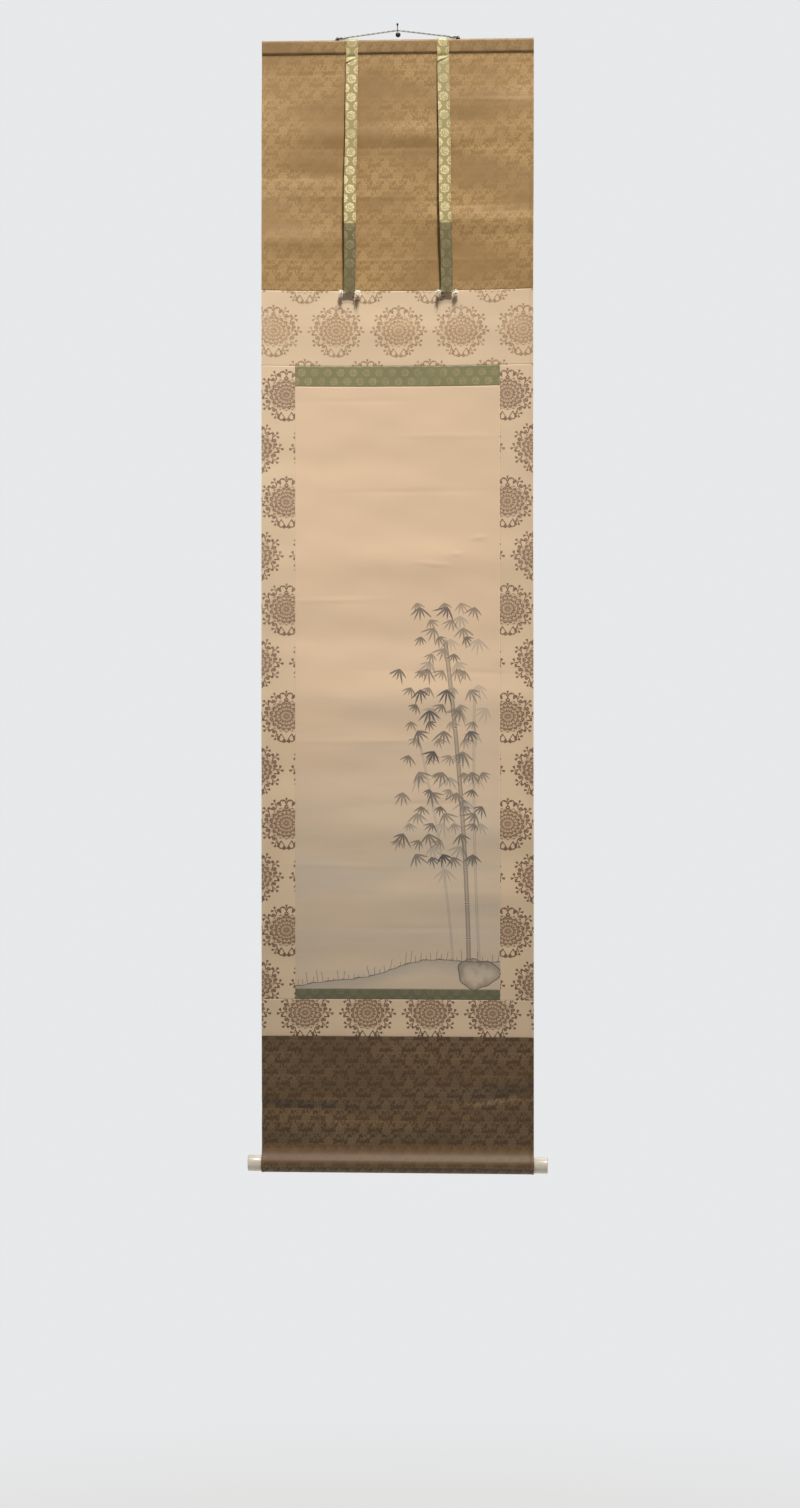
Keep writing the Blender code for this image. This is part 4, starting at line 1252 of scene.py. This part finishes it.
def make_cord(yarns):
    """The hanging cord: yarns that pass over and under each other, half of them turning each way. Gives
    the cord and points of its centreline."""
    across = np.linspace(-CORD_END_X, CORD_END_X, CORD_POINTS)
    centre = np.array([(x, HANG_Y, cord_height(x)) for x in across])
    slope = np.gradient(centre[:, 2], across)
    up = np.stack([-slope, np.zeros(CORD_POINTS), np.ones(CORD_POINTS)], axis=1)
    up /= np.linalg.norm(up, axis=1)[:, None]
    out = np.array([0.0, -1.0, 0.0])
    turned_by = across / BRAID_TURN * math.tau
    parts = []
    for yarn in range(YARNS):
        way = 1 if yarn % 2 else -1
        start = yarn // 2 * math.pi / 2 + (math.pi / 4 if way > 0 else 0)
        turn = way * turned_by + start
        reach = BRAID_RADIUS + way * BRAID_SWING * np.cos(YARNS / 2 * turned_by)
        line_points = centre + up * (reach * np.cos(turn))[:, None] + out * (reach * np.sin(turn))[:, None]
        parts.append((*tube_parts(line_points, YARN_RADIUS, YARN_SIDES), int(yarn in DARK_YARNS)))
    cord = settle(joined("hanging_cord_braid", parts, 60), "cord_silk", ["hanging_cord"], *yarns)
    return cord, [tuple(point) for point in centre[::6]]


def make_knots(yarns):
    """At each ring: a loop of cord round the wire, the turns that whip it to the cord, and a loose end."""
    bend = np.linspace(*LOOP_ARC, 26)
    whip = np.linspace(0, 1, 90)
    whip_reach = WHIP_RADIUS + WHIP_SWELL * np.sin(math.pi * whip)
    whip_turn = whip * math.tau * WHIP_TURNS
    along = WHIP_START + WHIP_LENGTH * whip
    tail = np.linspace(0, 1, 10)
    tail_z = RING_TIP_Z + CORD_SLOPE * TAIL_START - TAIL_LOW - TAIL_DROP * tail**2
    strands = (
        # x from the middle of the cord, y, z, radius, material
        (
            RING_TIP_X + LOOP_RADIUS_X * np.cos(bend) - LOOP_SHIFT,
            HANG_Y + LOOP_BULGE * np.sin(bend / 2),
            RING_TIP_Z + LOOP_RADIUS_Z * np.sin(bend),
            LOOP_THREAD,
            0,
        ),
        (
            RING_TIP_X - along,
            HANG_Y + whip_reach * np.cos(whip_turn),
            RING_TIP_Z + CORD_SLOPE * along + whip_reach * np.sin(whip_turn),
            WHIP_THREAD,
            0,
        ),
        (
            RING_TIP_X - TAIL_START - TAIL_LENGTH * tail,
            HANG_Y - TAIL_OUT - TAIL_BOW * np.sin(tail * 2.6),
            tail_z,
            TAIL_THREAD,
            1,
        ),
    )
    knots = []
    for side, sign in SIDES:
        parts = []
        for x, y, z, radius, material in strands:
            points = np.stack([sign * x, y, z], axis=1)
            parts.append((*tube_parts(points, radius, KNOT_SIDES), material))
        knot = joined(f"cord_knot_{side}_whipped", parts, 60)
        knots.append(settle(knot, "cord_silk", [f"cord_knot_{side}"], *yarns))
    return knots


def make_upper_panel(wide, finishes):
    """The panel round the stave, with the line pressed in below it, and painted shade in that line and on
    the band over it.
    """
    path = upper_panel_path()
    run = along_path(path)
    relief = border_relief(run, wide, ("hem", "hem"), ("seam", None))
    points = np.array(path)
    front = (points[:, 0] < HANG_Y - STAVE_CORNER / 2)[:, None]
    down = (TOP_EDGE_Z - points[:, 1])[:, None]
    spread = np.array(wide)[None, :]
    wander = sum(share * np.sin(spread * rate + shift) for rate, shift, share in PRESSED_LINE_WAVES)
    pressed_at = PRESSED_LINE_DOWN + PRESSED_LINE_WANDER * wander
    pressed = np.exp(-(((down - pressed_at) / PRESSED_LINE_HALF) ** 2)) * front
    relief = relief - PRESSED_LINE_DEPTH * pressed
    above = (1 - smooth(pressed_at - SOFT_EDGE, pressed_at + SOFT_EDGE, down)) * front
    # Painted shade in the pressed line and over the stave's band
    marks = np.maximum(PRESSED_LINE_SHADE * pressed, STAVE_BAND_SHADE * above)
    panel = cloth("upper_panel_cloth", path, wide, relief, SEAM_1_Z + run, marks=marks)
    settle(panel, "brown_silk", ["upper_panel"], finishes["upper_panel"], finishes["backing"])


def make_lower_panel(wide, finishes):
    """The panel round the roller, with a painted highlight in front of it."""
    path = lower_panel_path()
    run = along_path(path)
    relief = border_relief(run, wide, ("hem", "hem"), (None, "seam"))
    points = np.array(path)
    heights = points[:, 1:]
    # Painted highlight on the silk where it curves forward over the roller, as a negative mark
    highlight = smooth(ROLLER_Z + HIGHLIGHT_LOW_Z[0], ROLLER_Z + HIGHLIGHT_LOW_Z[1], heights)
    highlight = highlight * (1 - smooth(*HIGHLIGHT_TOP_Z, heights)) * (points[:, :1] < SHEET_Y)
    marks = -ROLLER_HIGHLIGHT * highlight + np.zeros((1, len(wide)))
    panel = cloth("lower_panel_cloth", path, wide, relief, SEAM_6_Z - run[-1] + run, marks=marks)
    settle(panel, "brown_silk", ["lower_panel"], finishes["lower_panel"], finishes["backing"])


def make_panels(finishes):
    """The nine cloths of the mount, on the solids' folds."""
    steps = (-HEM_EDGE, 0.0, HEM_EDGE)
    hem_places = [sign * (HALF_WIDTH - HEM_WIDTH - step) for sign in (-1, 1) for step in steps]
    wide = stations(-HALF_WIDTH, HALF_WIDTH, CLOTH_COLUMN, extra=hem_places)
    middle = stations(-HALF_PAINTING, HALF_PAINTING, PAINTING_CELL)
    left = stations(-HALF_WIDTH, -HALF_PAINTING, SIDE_COLUMN, extra=[-HALF_WIDTH + HEM_WIDTH])
    right = stations(HALF_PAINTING, HALF_WIDTH, SIDE_COLUMN, extra=[HALF_WIDTH - HEM_WIDTH])
    make_upper_panel(wide, finishes)
    make_lower_panel(wide, finishes)
    hems = ("hem", "hem")
    seams = ("seam", "seam")
    slots = {"damask": "pale_damask", "accent": "green_brocade", "painting": "painted_silk"}
    panels = (
        # solid, columns, top, bottom, row, side borders, what carries it
        ("damask_band_top", wide, SEAM_1_Z, SEAM_2_Z, CLOTH_ROW, hems, "upper_panel"),
        ("damask_side_left", left, SEAM_2_Z, SEAM_5_Z, SIDE_ROW, ("hem", "seam"), "damask_band_top"),
        ("damask_side_right", right, SEAM_2_Z, SEAM_5_Z, SIDE_ROW, ("seam", "hem"), "damask_band_top"),
        ("accent_strip_upper", middle, SEAM_2_Z, SEAM_3_Z, CLOTH_ROW, seams, "damask_band_top"),
        ("painting", middle, SEAM_3_Z, SEAM_4_Z, PAINTING_CELL, seams, "accent_strip_upper"),
        ("accent_strip_lower", middle, SEAM_4_Z, SEAM_5_Z, CLOTH_ROW, seams, "painting"),
        ("damask_band_bottom", wide, SEAM_5_Z, SEAM_6_Z, CLOTH_ROW, hems, "painting"),
    )
    for solid, columns, top, bottom, row, borders, carrier in panels:
        heights = stations(bottom, top, row)
        relief = border_relief(np.array(heights) - bottom, columns, borders, seams)
        made = cloth(f"{solid}_cloth", upright(heights), columns, relief)
        settle(made, slots[solid.split("_")[0]], [solid], finishes[solid], finishes["backing"])


def streamer_out(down):
    """How far the streamer stands in front of the stave's front, below the stave."""
    before = (0.0, 0.0)
    for point in STREAMER_POINTS:
        if down <= point[0]:
            share = smooth(before[0], point[0], down)
            return float(before[1] + (point[1] - before[1]) * share)
        before = point
    start_down, start_out = STREAMER_POINTS[-1]
    crease_down, crease_out = STREAMER_CREASE
    if down <= crease_down:
        share = (down - start_down) / (crease_down - start_down)
        return start_out + (crease_out - start_out) * share**STREAMER_BOW
    end_down, end_out = STREAMER_END
    return crease_out + (end_out - crease_out) * (down - crease_down) / (end_down - crease_down)


def streamer_path():
    """From the end in to the crease, up to the stave, up its front and over its top to behind it."""
    offset = 2 * GAP + CLOTH_THICKNESS + STREAMER_THICKNESS / 2
    front_y = STAVE_FRONT_Y - offset
    corner_z = STAVE_Z + STAVE_CORNER_RISE
    ends = (STREAMER_END[0], TOP_EDGE_Z - corner_z)
    downs = stations(*ends, STREAMER_ROW, at_end=False, extra=[STREAMER_CREASE[0]])
    path = [(front_y - streamer_out(down), TOP_EDGE_Z - down) for down in downs]
    path += arc((HANG_Y, corner_z), STAVE_CORNER + offset, 180, 90, 10)[1:]
    path += arc((HANG_Y, STAVE_Z), STAVE_HALF_HEIGHT + offset, 90, STREAMER_TAIL_ANGLE, 16)[1:]
    return path


def make_streamers(finishes):
    """The two hanging strips, which lean, sway and have a slanting tuck below the stave."""
    path = streamer_path()
    run = along_path(path)
    downs = (TOP_EDGE_Z - np.array(path)[:, 1])[:, None]
    for side, sign in SIDES:
        lean = STREAMER_LEAN[side] / STREAMER_END[0]
        middle = sign * STREAMER_X
        columns = stations(middle - STREAMER_WIDTH / 2, middle + STREAMER_WIDTH / 2, STREAMER_COLUMN)

        def leaning(across, y, z, lean=lean, middle=middle):
            """Moves points of the straight strip to where they hang."""
            down = TOP_EDGE_Z - z
            share = (across - middle) / (STREAMER_WIDTH / 2)
            below_tuck = down - TUCK_DOWN + TUCK_SLOPE * share
            rise = TUCK_RISE * np.exp(-(((below_tuck + TUCK_RISE_UP) / TUCK_RISE_WIDTH) ** 2))
            rise = rise - TUCK_DEPTH * np.exp(-((below_tuck / TUCK_WIDTH) ** 2))
            sway = SWAY * np.sin(down * SWAY_RATE + middle * SWAY_SHIFT) * smooth(*SWAY_START, down)
            cup = CUP * share**2 * smooth(*CUP_START, down)
            return across + lean * down + sway, y - (rise + cup) * smooth(*FREE_START, down), z

        below_crease = smooth(STREAMER_CREASE[0] - SOFT_EDGE, STREAMER_CREASE[0] + SOFT_EDGE, downs)
        # Painted shade on the tail below the crease
        marks = TAIL_SHADE * below_crease + np.zeros((1, len(columns)))
        shape = {"along": run, "thickness": STREAMER_THICKNESS, "shape_at": leaning, "marks": marks}
        made = cloth(f"streamer_{side}_cloth", path, columns, **shape)
        cloths = (finishes[f"streamer_{side}"], finishes["streamer_back"])
        settle(made, "green_brocade", [f"streamer_{side}"], *cloths)


def unit(vector):
    """A vector of length 1 in the same direction."""
    return vector / np.linalg.norm(vector)


def make_tufts(finishes):
    """Loose silk threads bound into a small head at the streamers' lower corners."""
    draw = random.Random(TUFT_SEED)
    end_y, end_z = streamer_path()[0]
    clear = STREAMER_WIDTH / 2 + TUFT_HEAD_RADIUS + GAP
    share = np.linspace(0, 1, 6)[:, None]
    radii = TUFT_THREAD * (1 - TUFT_TAPER * share[:, 0] ** 3)
    reach = TUFT_THREAD_START + (1 - TUFT_THREAD_START) * share
    drop = np.array([0.0, 0.0, -TUFT_DROP]) * share**2
    turn = np.linspace(0, math.tau * 1.02, 18)
    for side, sign in SIDES:
        middle = sign * STREAMER_X + STREAMER_LEAN[side]
        for edge, way in (("outer", sign), ("inner", -sign)):
            place = np.array([middle + way * clear, end_y, end_z + TUFT_HEAD_RADIUS])
            aim = unit(np.array(TUFT_AIM) * (way, 1, 1))
            parts = []
            for _ in range(TUFT_THREADS):
                start_way = unit(aim + np.array([draw.gauss(0, TUFT_SPREAD) for _ in range(3)]))
                length = draw.uniform(*TUFT_LENGTHS)
                bend = np.array([draw.gauss(0, TUFT_BEND) for _ in range(3)]) * share**2
                points = place + (start_way * reach + drop + bend) * length
                parts.append((*tube_parts(points, radii, 4), 0))
            for _ in range(TUFT_TURNS):
                axis = unit(np.array([draw.gauss(0, 1), draw.gauss(0, 0.4), draw.gauss(0, 1)]))
                other = unit(np.cross(axis, (0, 1, 0)))
                third = np.cross(axis, other)
                loop = np.outer(np.cos(turn), other) + np.outer(np.sin(turn), third)
                points = place + TUFT_HEAD_RADIUS * TUFT_BINDING_REACH * loop
                parts.append((*tube_parts(points, TUFT_BINDING, 5), 0))
            made = joined(f"tuft_{side}_{edge}_threads", parts, 70)
            settle(made, "white_thread", [f"tuft_{side}_{edge}"], finishes["thread"])


def make_rings(finishes):
    """The eyelets with their eyes, and the rings in them."""
    upright_axis = Matrix.Rotation(-math.pi / 2, 4, "Y")
    flat = Matrix.Rotation(math.pi / 2, 4, "X")
    outline = [(SEAT_THICKNESS * rise, SEAT_RADIUS * reach) for rise, reach in SEAT_PROFILE]
    for side, sign in SIDES:
        seat = turned(f"eyelet_{side}_metal", outline, 48)
        seat.data.transform(Matrix.Translation((sign * EYELET_X, HANG_Y, SEAT_Z)) @ upright_axis)
        settle(seat, "dark_metal", [f"eyelet_{side}"], finishes["dark_metal"])
        eye = joined(f"eye_{side}", [(*torus_parts(EYE_RADIUS, EYE_WIRE, 48, 14), 0)])
        eye.data.transform(Matrix.Translation((sign * EYELET_X, HANG_Y, EYE_Z)))
        settle(eye, "dark_metal", [], finishes["dark_metal"])
        middle = (sign * (EYELET_X + RING_TIP_X) / 2, HANG_Y, (EYE_Z + RING_TIP_Z) / 2)
        wire_ring = joined(f"ring_{side}_metal", [(*torus_parts(RING_RADIUS, RING_WIRE, 64, 14), 0)])
        tilt = Matrix.Rotation(sign * RING_TILT, 4, "Y")
        wire_ring.data.transform(Matrix.Translation(middle) @ tilt @ flat)
        settle(wire_ring, "dark_metal", [f"ring_{side}"], finishes["dark_metal"])


def make_hook(finishes):
    """The wall hook: a bright bent wire with a drop-shaped dark tip and a dark flange."""
    tip_y = HANG_Y - HOOK_BEND
    stem = [(0.0, y, 0.0) for y in np.linspace(-FLANGE_THICKNESS, HANG_Y, 14)]
    stem += [(0.0, y, z) for y, z in arc((HANG_Y, HOOK_BEND), HOOK_BEND, 270, 180, 18)[1:]]
    top = HOOK_TIP_Z - HOOK_TIP_HALF_HEIGHT * HOOK_TIP_INSIDE
    stem += [(0.0, tip_y, z) for z in np.linspace(HOOK_BEND, top, 12)[1:]]
    angles = np.radians(np.linspace(*HOOK_TIP_ANGLES, 22))
    tip = [(0.0, tip_y, HOOK_TIP_Z + HOOK_TIP_HALF_HEIGHT * math.sin(a)) for a in angles]
    plate = [(0.0, -out, 0.0) for out, _ in FLANGE_PROFILE]
    plate_radii = FLANGE_RADIUS * np.array([share for _, share in FLANGE_PROFILE])
    parts = [
        (*tube_parts(stem, HOOK_WIRE, 20), 0),
        (*tube_parts(tip, HOOK_TIP_RADIUS * np.cos(angles), 28), 1),
        (*tube_parts(plate, plate_radii, 40), 1),
    ]
    hook = joined("wall_hook_metal", parts, 35)
    settle(hook, "dark_metal", ["wall_hook"], finishes["steel"], finishes["dark_metal"])


def make_knobs(finishes):
    """Turned knobs with a socket for the roller's tenon, a straight side and a rounded rim."""
    socket = TENON_RADIUS + GAP
    rim = (KNOB_LENGTH - KNOB_ROUNDING, KNOB_RADIUS - KNOB_ROUNDING)
    outline = [(SOCKET_DEPTH, 0), (SOCKET_DEPTH, socket), (SOCKET_EDGE, socket), (0, socket + SOCKET_EDGE)]
    outline += [(0, KNOB_RADIUS - KNOB_EDGE), (KNOB_EDGE * 0.3, KNOB_RADIUS - KNOB_EDGE * 0.3)]
    outline += [(KNOB_EDGE, KNOB_RADIUS), *arc(rim, KNOB_ROUNDING, 90, 0, 8)]
    outline += [(KNOB_LENGTH - inwards, radius) for inwards, radius in KNOB_END]
    for side, sign in SIDES:
        knob = turned(f"rod_knob_{side}_ivory", outline, 96)
        if sign < 0:
            knob.data.transform(Matrix.Rotation(math.pi, 4, "Z"))
        knob.data.transform(Matrix.Translation((sign * (HALF_WIDTH + GAP), SHEET_Y, ROLLER_Z)))
        settle(knob, "knob", [f"rod_knob_{side}"], finishes["ivory"])


def make_stage():
    """A pale floor that fades into the pale surroundings, where the camera sees it."""
    circle = {"vertices": FLOOR_SIDES, "radius": FLOOR_RADIUS, "fill_type": "NGON"}
    bpy.ops.mesh.primitive_circle_add(location=(0, 0, FLOOR_Z), **circle)
    floor = bpy.context.object
    floor.name = "floor"
    finish = Finish("pale_floor", 0.9)
    place = finish.object_place()
    finish.paint(finish.shade(FLOOR_COLOUR, finish.noise(place, 3.0, 3.0) * 0.04 + 0.98))
    x, y, _ = finish.split(place)
    seen = Field(finish.tree, finish.node("LightPath").outputs["Is Camera Ray"])
    glow = finish.node("Emission", [("Color", PALE)])
    share = length_of(x, y).step(*FLOOR_FADE) * seen
    mixer = finish.node("MixShader", [(0, share), (1, finish.shader.outputs[0]), (2, glow.outputs[0])])
    feed(finish.tree, finish.tree.nodes["Material Output"].inputs["Surface"], mixer.outputs[0])
    floor.data.materials.append(finish.material)
    return floor


def make_lamp(name, kind, place, aim, **settings):
    """A lamp at a place that points at its aim."""
    data = bpy.data.lights.new(name, kind)
    for setting, value in settings.items():
        setattr(data, setting, value)
    lamp = bpy.data.objects.new(name, data)
    lamp.location = place
    lamp.rotation_euler = (Vector(place) - Vector(aim)).to_track_quat("Z", "Y").to_euler()
    bpy.context.scene.collection.objects.link(lamp)
    return lamp


def make_light(floor):
    """A sun and a spot on the upper part from above, soft lamps, and pale surroundings. The spot leaves
    out the floor."""
    sun = {"energy": KEY_STRENGTH, "color": KEY_COLOUR, "angle": KEY_SOFTNESS}
    make_lamp("key", "SUN", KEY_WAY, (0.0, 0.0, 0.0), **sun)
    cone = {"spot_size": SPOT_CONE, "spot_blend": SPOT_BLEND, "shadow_soft_size": SPOT_RADIUS}
    spot = make_lamp("spot", "SPOT", SPOT_PLACE, SPOT_AIM, energy=SPOT_WATTS, color=KEY_COLOUR, **cone)
    left_out = bpy.data.collections.new("outside_the_spot")
    left_out.objects.link(floor)
    left_out.collection_objects[0].light_linking.link_state = "EXCLUDE"
    spot.light_linking.receiver_collection = left_out
    for name, place, aim, size, watts, colour in LAMPS:
        make_lamp(name, "AREA", place, aim, shape="DISK", size=size, energy=watts, color=colour)
    world = bpy.data.worlds.new("surroundings")
    bpy.context.scene.world = world
    world.use_nodes = True
    tree = world.node_tree
    seen = tree.nodes["Background"]
    soft = tree.nodes.new("ShaderNodeBackground")
    rays = tree.nodes.new("ShaderNodeLightPath")
    mixer = tree.nodes.new("ShaderNodeMixShader")
    feed(tree, seen.inputs["Color"], PALE)
    feed(tree, soft.inputs["Color"], AMBIENT)
    feed(tree, soft.inputs["Strength"], AMBIENT_STRENGTH)
    for entry, value in zip(mixer.inputs, (rays.outputs["Is Camera Ray"], soft.outputs[0], seen.outputs[0])):
        feed(tree, entry, value)
    feed(tree, tree.nodes["World Output"].inputs["Surface"], mixer.outputs[0])
    bpy.context.scene.view_settings.view_transform = "Standard"


make_camera()
yarns = (
    thread("cord_yarn_light", (0.60, 0.60, 0.57), (0.36, 0.36, 0.34)),
    thread("cord_yarn_dark", (0.10, 0.10, 0.11), (0.20, 0.20, 0.20)),
)
hanging_cord, centreline = make_cord(yarns)
knots = make_knots(yarns)
finishes = make_finishes()
make_panels(finishes)
make_streamers(finishes)
make_tufts(finishes)
make_rings(finishes)
make_hook(finishes)
make_knobs(finishes)
for rod in ("top_rod", "bottom_rod"):
    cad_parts[rod].data.materials.clear()
    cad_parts[rod].data.materials.append(finishes["wood"])
make_light(make_stage())
